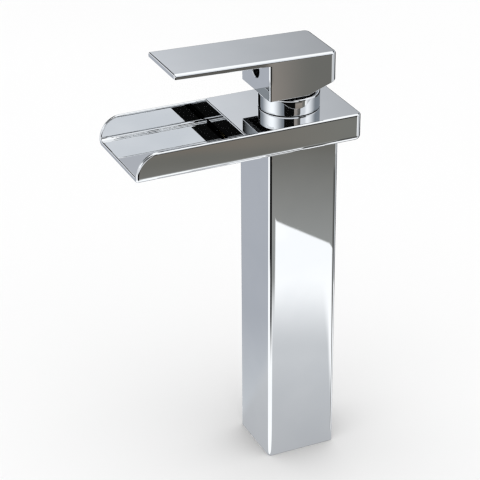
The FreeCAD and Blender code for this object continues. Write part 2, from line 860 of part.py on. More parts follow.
pin = doc.addObject("Part::Cylinder", "pivot_pin_rod")
bind(pin, "Radius", D("pin_radius"))
bind(pin, "Height", (D("rotor_radius") - 0.3) * 2)
pin.Placement = Placement(
    Vector(-(value["rotor_radius"] - 0.3), 0, value["pivot_tall"]),
    Rotation(Vector(0, 1, 0), 90),
)
pin.setExpression("Placement.Base.x", (-(D("rotor_radius") - 0.3)).text)
pin.setExpression("Placement.Base.z", D("pivot_tall").text)
part(pin, "pivot_pin")

# Stop ring on the neck: open towards the spout, so that the rotor's lug can turn 50 degrees each way.
stop = ring("stop_ring", D("rotor_radius") + 0.2, 13.2, D("housing_neck_top"), D("rotor_top"))
wedge = new_body("stop_ring_gap_body")
sk = new_sketch(wedge, "stop_ring_gap_outline", offset=D("housing_neck_top") - 1)
polygon(sk, [(0, 0), (-26.0, -15.0), (-26.0, -30.0), (26.0, -30.0), (26.0, -15.0)])
pad(wedge, sk, 5.0, "stop_ring_gap")
part(cut("stop_ring_open", stop, wedge), "temperature_limit_ring")

b = new_body("cartridge_nut_body")
sk = new_sketch(b, "cartridge_nut_outline", offset=D("housing_shoulder"))
circle(sk, 0, 0, D("valve_bore") - 0.03)
circle(sk, 0, 0, D("neck_radius") + 0.3)
pad(b, sk, 3.5, "cartridge_nut_ring")
sk = new_sketch(b, "cartridge_nut_notch", offset=D("housing_shoulder") + 3.5)
rectangle(sk, -1.6, 1.6, 15.4, 19.0)
k = pocket(b, sk, 1.6, "cartridge_nut_slot")
pp = b.newObject("PartDesign::PolarPattern", "cartridge_nut_slots")
pp.Originals = [k]
pp.Axis = (sk, ["N_Axis"])
pp.Angle = 360
pp.Occurrences = 6
b.Tip = pp
doc.recompute()
part(b, "cartridge_nut")

# ---------------------------------------------------------------- bonnet and its seal
b = new_body("bonnet_cap_body")
sk = new_sketch(b, "bonnet_section", "XZ_Plane")
br, bb_, bt, bm = D("bonnet_radius"), D("bonnet_bore"), D("bonnet_top"), D("bonnet_mouth")
low = deck + D("deck_seal_thick")
polygon(
    sk,
    [
        (bb_, low),
        (br, low),
        (br, bt),
        (bm, bt),
        (bm, bt - 1.3),
        (bb_ - 1.0, bt - 1.3),
        (bb_, bt - 2.3),
    ],
)
revolve(b, sk, "bonnet_turned")
fillet(
    b,
    lambda bb, e: near(bb.ZMin, bt.number) and bb.ZLength < 1e-3 and bb.XLength > 40,
    D("bonnet_edge"),
    "bonnet_shoulder",
)
part(b, "bonnet_cap")

part(
    ring("deck_ring", D("bonnet_bore") + 0.1, D("bonnet_radius") - 0.25, deck, low),
    "bonnet_seal",
)

# ---------------------------------------------------------------- lever stem
neck = cylinder("stem_neck", 1.6, D("ball_tall"), D("pivot_tall") - 2)
ball = doc.addObject("Part::Sphere", "stem_ball")
bind(ball, "Radius", D("ball_radius"))
ball.setExpression("Placement.Base.z", D("ball_tall").text)
s = D("stem_half")
bar = box("stem_square", -s, s, -s, s, D("pivot_tall") - 2.5, D("stem_top"))
hole = doc.addObject("Part::Cylinder", "stem_pin_hole")
bind(hole, "Radius", D("pin_radius") + D("pin_clearance"))
bind(hole, "Height", 20.0)
hole.Placement = Placement(
    Vector(-10, 0, value["pivot_tall"]), Rotation(Vector(0, 1, 0), 90)
)
hole.setExpression("Placement.Base.z", D("pivot_tall").text)
part(cut("lever_stem_cut", fuse("lever_stem_solid", neck, ball, bar), hole), "lever_stem")

# ---------------------------------------------------------------- lever handle
# One casting: thin plate over a hollow block; the block's underside rises at the back
# so that the handle can tilt without touching the bonnet.
b = new_body("lever_handle_body")
sk = new_sketch(b, "handle_profile", "YZ_Plane", offset=-D("handle_half"))
polygon(
    sk,
    [
        (D("handle_back"), D("handle_top_back")),
        (-D("handle_tip"), D("handle_top_tip")),
        (-D("handle_tip"), D("handle_top_tip") - D("tip_thick")),
        (-D("block_front"), D("root_under")),
        (-D("block_front"), D("block_under")),
        (D("relief_start"), D("block_under")),
        (D("handle_back"), D("relief_back")),
    ],
)
pad(b, sk, D("handle_half") * 2, "handle_solid")
hh, hb, ht = D("handle_half"), D("handle_back"), D("handle_tip")
fillet(
    b,
    lambda bb, e: upright(bb, hh.number, hb.number),
    D("handle_rear_edge"),
    "handle_rear_edges",
)
fillet(
    b,
    lambda bb, e: upright(bb, hh.number, -D("block_front").number),
    D("block_front_edge"),
    "block_front_edges",
)
top_back, top_rise = D("handle_top_back").number, D("handle_top_tip").number - D("handle_top_back").number


def top_height(y):
    """Height of the handle's top face at y."""
    return top_back + (hb.number - y) * top_rise / (hb.number + ht.number)


fillet(
    b,
    lambda bb, e: abs(bb.Center.z - top_height(bb.Center.y)) < 0.3
    and not upright(bb)
    and bb.Center.y > 1 - ht.number,
    D("handle_top_edge"),
    "handle_top_edges",
)
tip_low = D("handle_top_tip").number - D("tip_thick").number
fillet(
    b,
    lambda bb, e: bb.YMax < 0.01 - ht.number and bb.Center.z > tip_low + 0.1,
    D("handle_tip_edge"),
    "handle_tip_edges",
)
sk = new_sketch(b, "handle_hollow_outline", offset=D("block_under") - 1)
hs, hf, hk, so = D("shell_half"), D("shell_front"), D("shell_back"), D("socket_half")
polygon(
    sk,
    [
        (-hs, -hf),
        (-so, -hf),
        (-so, so),
        (so, so),
        (so, -hf),
        (hs, -hf),
        (hs, hk),
        (-hs, hk),
    ],
)
pocket(b, sk, D("shell_roof") - D("block_under") + 1, "handle_hollow", reverse=True)
sk = new_sketch(b, "handle_boss_relief_outline", offset=D("block_under") - 1)
rectangle(sk, -so - 0.5, so + 0.5, -hf, so + 0.5)
pocket(b, sk, D("socket_under") - D("block_under") + 1, "handle_boss_relief", reverse=True)
sk = new_sketch(b, "handle_square_outline", offset=D("socket_under") - 1)
q = D("stem_half") + 0.03
rectangle(sk, -q, q, -q, q)
pocket(b, sk, D("stem_top") + 0.4 - D("socket_under") + 1, "handle_square_socket", reverse=True)
sk = new_sketch(b, "set_screw_bore_circle", "XZ_Plane", offset=D("block_front"))
circle(sk, 0, D("screw_hole_tall"), D("screw_hole_radius"))
pocket(b, sk, D("screw_hole_deep"), "set_screw_counterbore")
sk = new_sketch(b, "set_screw_thread_circle", "XZ_Plane", offset=D("block_front"))
circle(sk, 0, D("screw_hole_tall"), D("screw_radius") + 0.02)
pocket(b, sk, D("block_front") - D("stem_half") + 0.5, "set_screw_thread")
part(b, "lever_handle")

b = new_body("handle_set_screw_body")
front = D("block_front") - D("screw_hole_deep") - 0.4
sk = new_sketch(b, "set_screw_outline", "XZ_Plane", offset=D("stem_half") + 0.01)
circle(sk, 0, D("screw_hole_tall"), D("screw_radius"))
pad(b, sk, front - D("stem_half") - 0.01, "set_screw_rod")
sk = new_sketch(b, "set_screw_hexagon", "XZ_Plane", offset=front)
t = D("screw_hole_tall")
ar = 4.0 / 2 / 0.8660254
polygon(
    sk,
    [
        (ar, t),
        (ar / 2, t + 2.0),
        (-ar / 2, t + 2.0),
        (-ar, t),
        (-ar / 2, t - 2.0),
        (ar / 2, t - 2.0),
    ],
)
pocket(b, sk, 4.0, "set_screw_hex_socket")
part(b, "handle_set_screw")

# ---------------------------------------------------------------- checks and files
doc.recompute()
faults = []
for obj in doc.Objects:
    if "Invalid" in obj.State or "Error" in obj.State:
        faults.append("%s is %s" % (obj.Name, obj.State))
for obj in made:
    shape = obj.Shape
    if shape.isNull() or not shape.isValid():
        faults.append("%s has no valid shape" % obj.Label)
    elif not shape.Solids:
        faults.append("%s has no solid" % obj.Label)
labels = [obj.Label for obj in made]
if len(set(labels)) != len(labels):
    faults.append("two sub-parts share a label")
if faults:
    raise RuntimeError("; ".join(faults))

os.makedirs("parts", exist_ok=True)
for obj in made:
    obj.Shape.exportStep("parts/%s.step" % obj.Label)
    bb = obj.Shape.BoundBox
    print(
        "%-24s solids %d  volume %9.1f  x %7.2f %7.2f  y %7.2f %7.2f  z %7.2f %7.2f"
        % (
            obj.Label,
            len(obj.Shape.Solids),
            obj.Shape.Volume,
            bb.XMin,
            bb.XMax,
            bb.YMin,
            bb.YMax,
            bb.ZMin,
            bb.ZMax,
        )
    )
print(len(made), "sub-parts")
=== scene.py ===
import json
import math

import bmesh
import bpy
import numpy as np
from mathutils import Matrix, Vector
from mathutils.geometry import delaunay_2d_cdt


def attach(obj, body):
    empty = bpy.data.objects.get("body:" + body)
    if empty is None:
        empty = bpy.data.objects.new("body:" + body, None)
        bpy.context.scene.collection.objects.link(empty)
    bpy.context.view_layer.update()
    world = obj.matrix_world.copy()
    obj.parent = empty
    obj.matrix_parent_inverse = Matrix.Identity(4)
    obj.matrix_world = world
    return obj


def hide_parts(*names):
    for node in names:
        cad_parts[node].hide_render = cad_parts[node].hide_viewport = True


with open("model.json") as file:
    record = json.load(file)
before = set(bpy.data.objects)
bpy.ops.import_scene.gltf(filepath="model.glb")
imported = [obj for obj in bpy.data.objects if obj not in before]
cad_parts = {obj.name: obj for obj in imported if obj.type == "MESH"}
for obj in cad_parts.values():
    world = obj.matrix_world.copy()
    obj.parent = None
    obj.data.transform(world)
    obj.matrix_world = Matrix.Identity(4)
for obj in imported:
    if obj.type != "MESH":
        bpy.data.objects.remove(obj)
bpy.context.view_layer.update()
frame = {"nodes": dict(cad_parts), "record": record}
scene = bpy.context.scene

# Lengths below are millimetres, turned into metres when a mesh is made.
MM = 0.001
RIGHT = math.pi / 2


# ------------------------------------------------------------------ mesh tools


class Skin:
    """Patches of one closed surface; patches that share border points are welded."""

    def __init__(self):
        self.points = []
        self.faces = []

    def point(self, p):
        self.points.append((float(p[0]), float(p[1]), float(p[2])))
        return len(self.points) - 1

    def face(self, pts):
        self.faces.append([self.point(p) for p in pts])

    def grid(self, rows, around=False):
        """Quads between neighbouring rows of points; around also joins the ends of each row."""
        ids = [[self.point(p) for p in row] for row in rows]
        n = len(ids[0])
        for a, b in zip(ids[:-1], ids[1:]):
            for k in range(n if around else n - 1):
                m = (k + 1) % n
                self.faces.append([a[k], a[m], b[m], b[k]])

    def ring(self, rows):
        """A surface closed both ways: the last row joins the first."""
        self.grid(list(rows) + [rows[0]], around=True)

    def flat(self, loop, drop):
        """A flat region bounded by a closed loop, seen along the axis drop."""
        pts = []
        for p in loop:
            if not pts or max(abs(a - b) for a, b in zip(p, pts[-1])) > 1e-5:
                pts.append(tuple(p))
        if max(abs(a - b) for a, b in zip(pts[0], pts[-1])) <= 1e-5:
            pts.pop()
        keep = [i for i in range(3) if i != drop]
        co = [Vector((p[keep[0]], p[keep[1]])) for p in pts]
        n = len(co)
        edges = [(i, (i + 1) % n) for i in range(n)]
        out, _, tris, origin, _, _ = delaunay_2d_cdt(co, edges, [], 1, 1e-6)
        if len(out) != n:
            raise RuntimeError("a flat patch crosses itself")
        where = [o[0] for o in origin]
        for tri in tris:
            cx = sum(out[i].x for i in tri) / 3
            cy = sum(out[i].y for i in tri) / 3
            if inside(cx, cy, co):
                self.face([pts[where[i]] for i in tri])

    def mirrored(self):
        """Adds the other half, across x = 0."""
        shift = len(self.points)
        self.points += [(-x, y, z) for x, y, z in self.points]
        self.faces += [[i + shift for i in reversed(f)] for f in self.faces]
        return self

    def build(self, name, weld=0.002):
        me = bpy.data.meshes.new(name)
        me.from_pydata([(x * MM, y * MM, z * MM) for x, y, z in self.points], [], self.faces)
        bm = bmesh.new()
        bm.from_mesh(me)
        bmesh.ops.remove_doubles(bm, verts=bm.verts, dist=weld * MM)
        bmesh.ops.dissolve_degenerate(bm, edges=bm.edges, dist=weld * MM * 0.5)
        bmesh.ops.recalc_face_normals(bm, faces=bm.faces)
        if bm.calc_volume(signed=True) < 0:
            bmesh.ops.reverse_faces(bm, faces=bm.faces)
        loose = [e for e in bm.edges if len(e.link_faces) != 2]
        if loose:
            print("OPEN", name, len(loose), [tuple(round(c / MM, 2) for c in e.verts[0].co) for e in loose[:6]])
        bm.to_mesh(me)
        bm.free()
        obj = bpy.data.objects.new(name, me)
        scene.collection.objects.link(obj)
        return obj


def inside(x, y, loop):
    hit = False
    for a, b in zip(loop, loop[1:] + loop[:1]):
        if (a.y > y) != (b.y > y) and x < (b.x - a.x) * (y - a.y) / (b.y - a.y) + a.x:
            hit = not hit
    return hit


def spread(a, b, step):
    """Values from a to b, about step apart, ends included."""
    n = max(1, int(round(abs(b - a) / step)))
    return [a + (b - a) * k / n for k in range(n + 1)]


def sweep(n, a=0.0, b=RIGHT):
    return [a + (b - a) * k / n for k in range(n + 1)]


def turned(name, profile, sides):
    """A closed (radius, height) outline turned about Z."""
    skin = Skin()
    rows = []
    for r, z in profile:
        rows.append(
            [
                (r * math.cos(2 * math.pi * k / sides), r * math.sin(2 * math.pi * k / sides), z)
                for k in range(sides)
            ]
        )
    skin.ring(rows)
    return skin.build(name)


def cut(obj, cutters):
    """Takes the cutters' volume out of obj, once and for all."""
    for c in cutters:
        m = obj.modifiers.new("cut", "BOOLEAN")
        m.operation = "DIFFERENCE"
        m.solver = "EXACT"
        m.object = c
    bpy.context.view_layer.update()
    dg = bpy.context.evaluated_depsgraph_get()
    me = bpy.data.meshes.new_from_object(obj.evaluated_get(dg))
    obj.modifiers.clear()
    old = obj.data
    obj.data = me
    bpy.data.meshes.remove(old)
    for c in cutters:
        data = c.data
        bpy.data.objects.remove(c)
        bpy.data.meshes.remove(data)
    bm = bmesh.new()
    bm.from_mesh(obj.data)
    bmesh.ops.remove_doubles(bm, verts=bm.verts, dist=0.002 * MM)
    bmesh.ops.dissolve_degenerate(bm, edges=bm.edges, dist=0.001 * MM)
    loose = [e for e in bm.edges if len(e.link_faces) != 2]
    if loose:
        bmesh.ops.holes_fill(bm, edges=loose, sides=0)
        loose = [e for e in bm.edges if len(e.link_faces) != 2]
    if loose:
        print("OPEN after cut", obj.name, len(loose), [tuple(tuple(round(c / MM, 3) for c in v.co) for v in e.verts) for e in loose[:6]])
    bm.to_mesh(obj.data)
    bm.free()
    return obj


def block(name, lo, hi):
    skin = Skin()
    (x0, y0, z0), (x1, y1, z1) = lo, hi
    c = [(x, y, z) for x in (x0, x1) for y in (y0, y1) for z in (z0, z1)]
    for f in ((0, 1, 3, 2), (4, 6, 7, 5), (0, 4, 5, 1), (2, 3, 7, 6), (0, 2, 6, 4), (1, 5, 7, 3)):
        skin.face([c[i] for i in f])
    return skin.build(name)


def prism(name, outline, z0, z1):
    """A solid with an outline in X and Y, between two heights."""
    skin = Skin()
    low = [(x, y, z0) for x, y in outline]
    high = [(x, y, z1) for x, y in outline]
    skin.grid([low, high], around=True)
    skin.flat(low, 2)
    skin.flat(high, 2)
    return skin.build(name)


def bore(name, y0, y1, z, profile, sides=72):
    """A round solid along Y: profile is a list of (y, radius), from its first y to its last. y0 and y1 are not used."""
    skin = Skin()
    rows = []
    for y, r in profile:
        rows.append(
            [
                (r * math.cos(2 * math.pi * k / sides), y, z + r * math.sin(2 * math.pi * k / sides))
                for k in range(sides)
            ]
        )
    skin.grid(rows, around=True)
    skin.face(rows[0])
    skin.face(rows[-1])
    return skin.build(name)


def crisp(obj, limit=32.0, flat_area=2.0):
    """Shading of a machined part: flats stay flat right up to their roundings, roundings are smooth."""
    me = obj.data
    bm = bmesh.new()
    bm.from_mesh(me)
    bm.faces.ensure_lookup_table()
    bm.verts.ensure_lookup_table()
    n = len(bm.faces)
    normal = [f.normal.copy() for f in bm.faces]
    area = [f.calc_area() for f in bm.faces]
    region = [-1] * n
    total = []
    for f in bm.faces:
        if region[f.index] >= 0:
            continue
        k = len(total)
        stack, size = [f], 0.0
        region[f.index] = k
        while stack:
            g = stack.pop()
            size += area[g.index]
            for e in g.edges:
                for h in e.link_faces:
                    if region[h.index] < 0 and normal[h.index].dot(normal[f.index]) > 1 - 2e-7:
                        region[h.index] = k
                        stack.append(h)
        total.append(size)
    plane = [total[region[i]] > flat_area * MM * MM for i in range(n)]
    cos_limit = math.cos(math.radians(limit))
    loops = [None] * len(me.loops)
    for f in bm.faces:
        mine = normal[f.index]
        for loop in f.loops:
            if plane[f.index]:
                loops[loop.index] = mine
                continue
            best, best_area, sum_ = None, 0.0, Vector((0, 0, 0))
            for g in loop.vert.link_faces:
                if normal[g.index].dot(mine) < cos_limit:
                    continue
                if plane[g.index]:
                    if total[region[g.index]] > best_area:
                        best, best_area = normal[g.index], total[region[g.index]]
                else:
                    for other in g.loops:
                        if other.vert == loop.vert:
                            sum_ += normal[g.index] * max(other.calc_angle(), 1e-4)
            loops[loop.index] = best if best is not None else (sum_.normalized() if sum_.length > 1e-9 else mine)
    bm.free()
    me.polygons.foreach_set("use_smooth", [True] * len(me.polygons))
    me.normals_split_custom_set([tuple(v) for v in loops])
    me.update()
    return obj


# ------------------------------------------------------------------ materials


class Graph:
    """Small helper for node trees: every call makes one node and gives its output."""

    def __init__(self, tree):
        self.tree = tree

    def node(self, kind, **props):
        n = self.tree.nodes.new(kind)
        for k, v in props.items():
            setattr(n, k, v)
        return n

    def put(self, socket, value):
        if hasattr(value, "is_linked") or hasattr(value, "links"):
            self.tree.links.new(value, socket)
        else:
            socket.default_value = value

    def math(self, op, a, b=0.0, c=0.0, clamp=False):
        n = self.node("ShaderNodeMath", operation=op, use_clamp=clamp)
        self.put(n.inputs[0], a)
        self.put(n.inputs[1], b)
        self.put(n.inputs[2], c)
        return n.outputs[0]

    def step(self, x, lo, hi, smooth=True):
        """0 below lo, 1 above hi."""
        n = self.node("ShaderNodeMapRange", clamp=True)
        n.interpolation_type = "SMOOTHSTEP" if smooth else "LINEAR"
        self.put(n.inputs["Value"], x)
        self.put(n.inputs["From Min"], lo)
        self.put(n.inputs["From Max"], hi)
        return n.outputs["Result"]

    def scale(self, x, lo, hi, to_lo, to_hi):
        n = self.node("ShaderNodeMapRange", clamp=True)
        self.put(n.inputs["Value"], x)
        self.put(n.inputs["From Min"], lo)
        self.put(n.inputs["From Max"], hi)
        self.put(n.inputs["To Min"], to_lo)
        self.put(n.inputs["To Max"], to_hi)
        return n.outputs["Result"]

    def band(self, x, lo, hi, soft):
        """1 between lo and hi, with soft borders."""
        up = self.step(x, lo - soft, lo + soft)
        down = self.step(x, hi - soft, hi + soft)
        return self.math("SUBTRACT", up, down)

    def mix(self, a, b, factor):
        n = self.node("ShaderNodeMix", data_type="RGBA", clamp_factor=True)
        self.put(n.inputs[0], factor)
        self.put(n.inputs[6], a if not isinstance(a, tuple) else (*a[:3], 1.0))
        self.put(n.inputs[7], b if not isinstance(b, tuple) else (*b[:3], 1.0))
        return n.outputs[2]

    def noise(self, vector, scale, detail=3.0, rough=0.5, distortion=0.0):
        n = self.node("ShaderNodeTexNoise")
        self.put(n.inputs["Vector"], vector)
        n.inputs["Scale"].default_value = scale
        n.inputs["Detail"].default_value = detail
        n.inputs["Roughness"].default_value = rough
        n.inputs["Distortion"].default_value = distortion
        return n.outputs["Fac"]

    def stretch(self, vector, scale):
        n = self.node("ShaderNodeMapping")
        self.put(n.inputs["Vector"], vector)
        n.inputs["Scale"].default_value = scale
        return n.outputs["Vector"]


def new_material(name):
    m = bpy.data.materials.new(name)
    m.use_nodes = True
    g = Graph(m.node_tree)
    shader = next(n for n in m.node_tree.nodes if n.type == "BSDF_PRINCIPLED")
    coords = g.node("ShaderNodeTexCoord").outputs["Object"]
    return m, g, shader, coords


def finish_material(name, low, high, rough, metallic, scale, stretch=(1, 1, 1), bump=0.02, bump_scale=None, depth=1e-5, ior=None, coat=0.0):
    """Colour between low and high and roughness between rough's ends, both from noise, with a fine relief."""
    m, g, shader, coords = new_material(name)
    where = g.stretch(coords, stretch)
    f = g.noise(where, scale, 4.0, 0.6)
    g.put(shader.inputs["Base Color"], g.mix(low, high, g.step(f, 0.3, 0.7)))
    f2 = g.noise(where, scale * 2.7, 3.0, 0.6)
    g.put(shader.inputs["Roughness"], g.scale(f2, 0.3, 0.7, rough[0], rough[1]))
    shader.inputs["Metallic"].default_value = metallic
    if ior:
        shader.inputs["IOR"].default_value = ior
    if coat:
        shader.inputs["Coat Weight"].default_value = coat
    b = g.node("ShaderNodeBump")
    b.inputs["Strength"].default_value = bump
    b.inputs["Distance"].default_value = depth
    g.put(b.inputs["Height"], g.noise(where, bump_scale or scale * 4, 4.0, 0.6))
    g.put(shader.inputs["Normal"], b.outputs["Normal"])
    return m


def chrome_material(name, tint=(0.0, 0.0, 0.0)):
    """Polished plating: bright, slightly cool, with the faintest smears and the gentle waviness of hand polishing."""
    m, g, shader, coords = new_material(name)
    broad = g.noise(coords, 26.0, 2.0, 0.5)
    fine = g.noise(coords, 420.0, 4.0, 0.62)
    lo = (0.782, 0.795, 0.808)
    hi = (0.812, 0.822, 0.832)
    g.put(shader.inputs["Base Color"], g.mix(lo, hi, g.step(broad, 0.35, 0.65)))
    smear = g.noise(g.stretch(coords, (1.0, 1.0, 0.35)), 60.0, 5.0, 0.7, 0.6)
    base = g.scale(smear, 0.42, 0.78, 0.012, 0.045)
    g.put(shader.inputs["Roughness"], g.math("ADD", base, g.scale(fine, 0.45, 0.8, 0.0, 0.012)))
    shader.inputs["Metallic"].default_value = 1.0
    b = g.node("ShaderNodeBump")
    b.inputs["Strength"].default_value = 0.18
    b.inputs["Distance"].default_value = 0.00004
    g.put(b.inputs["Height"], g.noise(coords, 34.0, 1.0, 0.4))
    g.put(shader.inputs["Normal"], b.outputs["Normal"])
    return m


chrome = chrome_material("polished_chrome")
# near-black dull metal for the handle's hollow, bore and flat underside: painted shade in these recesses and under the
# block
painted_shade_cast = finish_material("painted_shade_casting", (0.030, 0.031, 0.032), (0.065, 0.066, 0.068), (0.45, 0.62), 1.0, 160.0, (1, 1, 1), 0.35, 1200.0, 3e-5)
pale_cast = finish_material("pale_casting", (0.56, 0.565, 0.57), (0.66, 0.665, 0.67), (0.5, 0.65), 0.0, 160.0, (1, 1, 1), 0.35, 1200.0, 3e-5)
brass = finish_material("raw_brass", (0.60, 0.42, 0.16), (0.78, 0.60, 0.30), (0.22, 0.38), 1.0, 180.0, (1, 1, 6), 0.3, 900.0, 2e-5)
copper = finish_material("copper_tube", (0.62, 0.30, 0.18), (0.80, 0.46, 0.31), (0.24, 0.42), 1.0, 90.0, (1, 1, 0.3), 0.25, 500.0, 2e-5)
steel = finish_material("zinc_steel", (0.50, 0.50, 0.49), (0.66, 0.66, 0.68), (0.28, 0.45), 1.0, 220.0, (1, 1, 1), 0.3, 900.0, 2e-5)
black_steel = finish_material("black_oxide_steel", (0.018, 0.018, 0.020), (0.045, 0.045, 0.050), (0.25, 0.42), 1.0, 400.0, (1, 1, 1), 0.3, 1600.0, 2e-5)
rubber = finish_material("seal_rubber", (0.010, 0.010, 0.011), (0.022, 0.022, 0.023), (0.55, 0.8), 0.0, 500.0, (1, 1, 1), 0.4, 1800.0, 3e-5, ior=1.5)
plastic = finish_material("cartridge_plastic", (0.74, 0.74, 0.71), (0.84, 0.84, 0.81), (0.35, 0.5), 0.0, 120.0, (1, 1, 1), 0.3, 1200.0, 2e-5, ior=1.48)
red_plastic = finish_material("limit_ring_plastic", (0.36, 0.035, 0.03), (0.46, 0.06, 0.05), (0.35, 0.5), 0.0, 150.0, (1, 1, 1), 0.3, 1200.0, 2e-5, ior=1.48)
ceramic = finish_material("ceramic_disc", (0.80, 0.78, 0.73), (0.88, 0.86, 0.82), (0.12, 0.25), 0.0, 300.0, (1, 1, 1), 0.15, 2000.0, 1e-5, ior=1.76)

FINISH = {
    "polished_chrome": chrome,
    "raw_brass": brass,
    "copper_tube": copper,
    "steel": steel,
    "dark_steel": black_steel,
    "seal_rubber": rubber,
    "cartridge_plastic": plastic,
    "limit_ring_plastic": red_plastic,
    "ceramic_disc": ceramic,
}
for sub in frame["record"]["subparts"]:
    node = frame["nodes"][sub["node"]]
    node.data.materials.clear()
    node.data.materials.append(FINISH[sub["material_slot"]])


def place(obj, material, body, slot, *stands_for):
    obj.data.materials.clear()
    obj.data.materials.append(material)
    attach(obj, body)
    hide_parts(*stands_for)
    return obj


# ------------------------------------------------------------------ column
# A square tube. Polishing takes a few hundredths off its flats beside each upright edge.


def column_outline(half_x, half_y, r, soft, fall, n_edge=5, n_arc=12):
    """One quarter after another, anticlockwise from +X; fall is how far the flats drop beside the rounding."""
    pts = []
    for quarter in range(4):
        hx, hy = (half_x, half_y) if quarter % 2 == 0 else (half_y, half_x)
        row = []
        # up the side at x = hx, from the middle of the flat to the rounding
        flat = hy - r
        run = [0.0, flat * 0.4, flat - soft]
        run += [flat - soft + soft * k / n_edge for k in range(1, n_edge + 1)]
        for y in run:
            d = max(0.0, (y - (flat - soft)) / soft) if soft else 0.0
            row.append((hx - fall * d * d, y))
        lean = math.atan(2 * fall / soft) if soft else 0.0
        # the rounding, from one leaning flat to the other
        c0 = (hx - fall, flat)
        c1 = (hx - r, hy - fall)
        m0 = (-math.sin(lean), math.cos(lean))
        m1 = (-math.cos(lean), math.sin(lean))
        h = 1.1716 * math.hypot(c1[0] - c0[0], c1[1] - c0[1])
        for k in range(1, n_arc):
            t = k / n_arc
            h00 = 2 * t**3 - 3 * t**2 + 1
            h10 = t**3 - 2 * t**2 + t
            h01 = -2 * t**3 + 3 * t**2
            h11 = t**3 - t**2
            row.append(
                (
                    h00 * c0[0] + h10 * h * m0[0] + h01 * c1[0] + h11 * h * m1[0],
                    h00 * c0[1] + h10 * h * m0[1] + h01 * c1[1] + h11 * h * m1[1],
                )
            )
        # along the side at y = hy, back to the middle
        run = [hx - r - soft * k / n_edge for k in range(0, n_edge + 1)]
        run += [(hx - r) * 0.4]
        for x in run:
            d = max(0.0, (x - (hx - r - soft)) / soft) if soft else 0.0
            row.append((x, hy - fall * d * d))
        turn = quarter * RIGHT
        c, s = round(math.cos(turn)), round(math.sin(turn))
        pts += [(c * x - s * y, s * x + c * y) for x, y in row]
    return pts


def make_column():
    hx, hy, r, wall, top = 25.0, 26.5, 2.4, 3.0, 250.7
    e = 0.35
    rows = []
    for a in sweep(4):
        d = e * (1 - math.sin(a))
        rows.append([(x, y, e - e * math.cos(a)) for x, y in column_outline(hx - d, hy - d, r, 3.2, 0.03)])
    for z in spread(e, top - e, 12.5)[1:-1]:
        rows.append([(x, y, z) for x, y in column_outline(hx, hy, r, 3.2, 0.03)])
    for a in sweep(4):
        d = e * (1 - math.cos(a))
        rows.append([(x, y, top - e + e * math.sin(a)) for x, y in column_outline(hx - d, hy - d, r, 3.2, 0.03)])
    ix, iy = hx - wall, hy - wall
    for z in [top] + spread(top - 0.3, 0.3, 50.0) + [0.0]:
        d = 0.3 if z in (top, 0.0) else 0.0
        rows.append([(x, y, z) for x, y in column_outline(ix + d, iy + d, 1.0, 3.2, 0.0)])
    skin = Skin()
    skin.ring(rows)
    return skin.build("column")


column = crisp(make_column(), flat_area=150.0)
place(column, chrome, "body", "polished_chrome", "column_shell")


# ------------------------------------------------------------------ bonnet, its black rubber ring, which gives the painted shade line at its foot


def make_bonnet():
    ro, ri, low, top, mouth = 21.7, 20.5, 271.4, 283.7, 13.4
    p = []
    p += [(ri + 0.15, low), (ro - 0.2, low)]
    p += [(ro - 0.2 + 0.2 * math.sin(a), low + 0.2 - 0.2 * math.cos(a)) for a in sweep(3)[1:]]
    p += [(ro, z) for z in spread(low + 0.2, top - 2.0, 1.6)[1:-1]]
    p += [(ro - 2 + 2 * math.cos(a), top - 2 + 2 * math.sin(a)) for a in sweep(12)]
    p += [(r, top) for r in spread(ro - 2, mouth + 0.4, 1.5)[1:]]
    p += [(mouth + 0.4 - 0.4 * math.sin(a), top - 0.4 + 0.4 * math.cos(a)) for a in sweep(4)[1:]]
    p += [(mouth, top - 1.3), (ri - 1.0, top - 1.3)]
    p += [(ri - 1 + math.sin(a), top - 2.3 + math.cos(a)) for a in sweep(5)[1:]]
    p += [(ri, low + 0.15)]
    return turned("bonnet", p, 144)


bonnet = crisp(make_bonnet(), flat_area=30.0)
place(bonnet, chrome, "body", "polished_chrome", "bonnet_cap")


# a black seal ring under the bonnet's rim; its black also stands in for the thin dark shade line where the bonnet meets
# the deck, a painted shade line
def make_bonnet_shade_ring():
    ri, ro, z0, z1, e = 20.6, 21.45, 271.0, 271.4, 0.12
    p = [(ri, z0), (ro - e, z0)]
    p += [(ro - e + e * math.sin(a), z0 + e - e * math.cos(a)) for a in sweep(3)[1:]]
    p += [(ro - e + e * math.cos(a), z1 - e + e * math.sin(a)) for a in sweep(3)]
    p += [(ri, z1)]
    return turned("bonnet_shade_ring", p, 96)


bonnet_shade_ring = crisp(make_bonnet_shade_ring(), flat_area=5.0)
place(bonnet_shade_ring, rubber, "body", "seal_rubber", "bonnet_seal")


# ------------------------------------------------------------------ spout


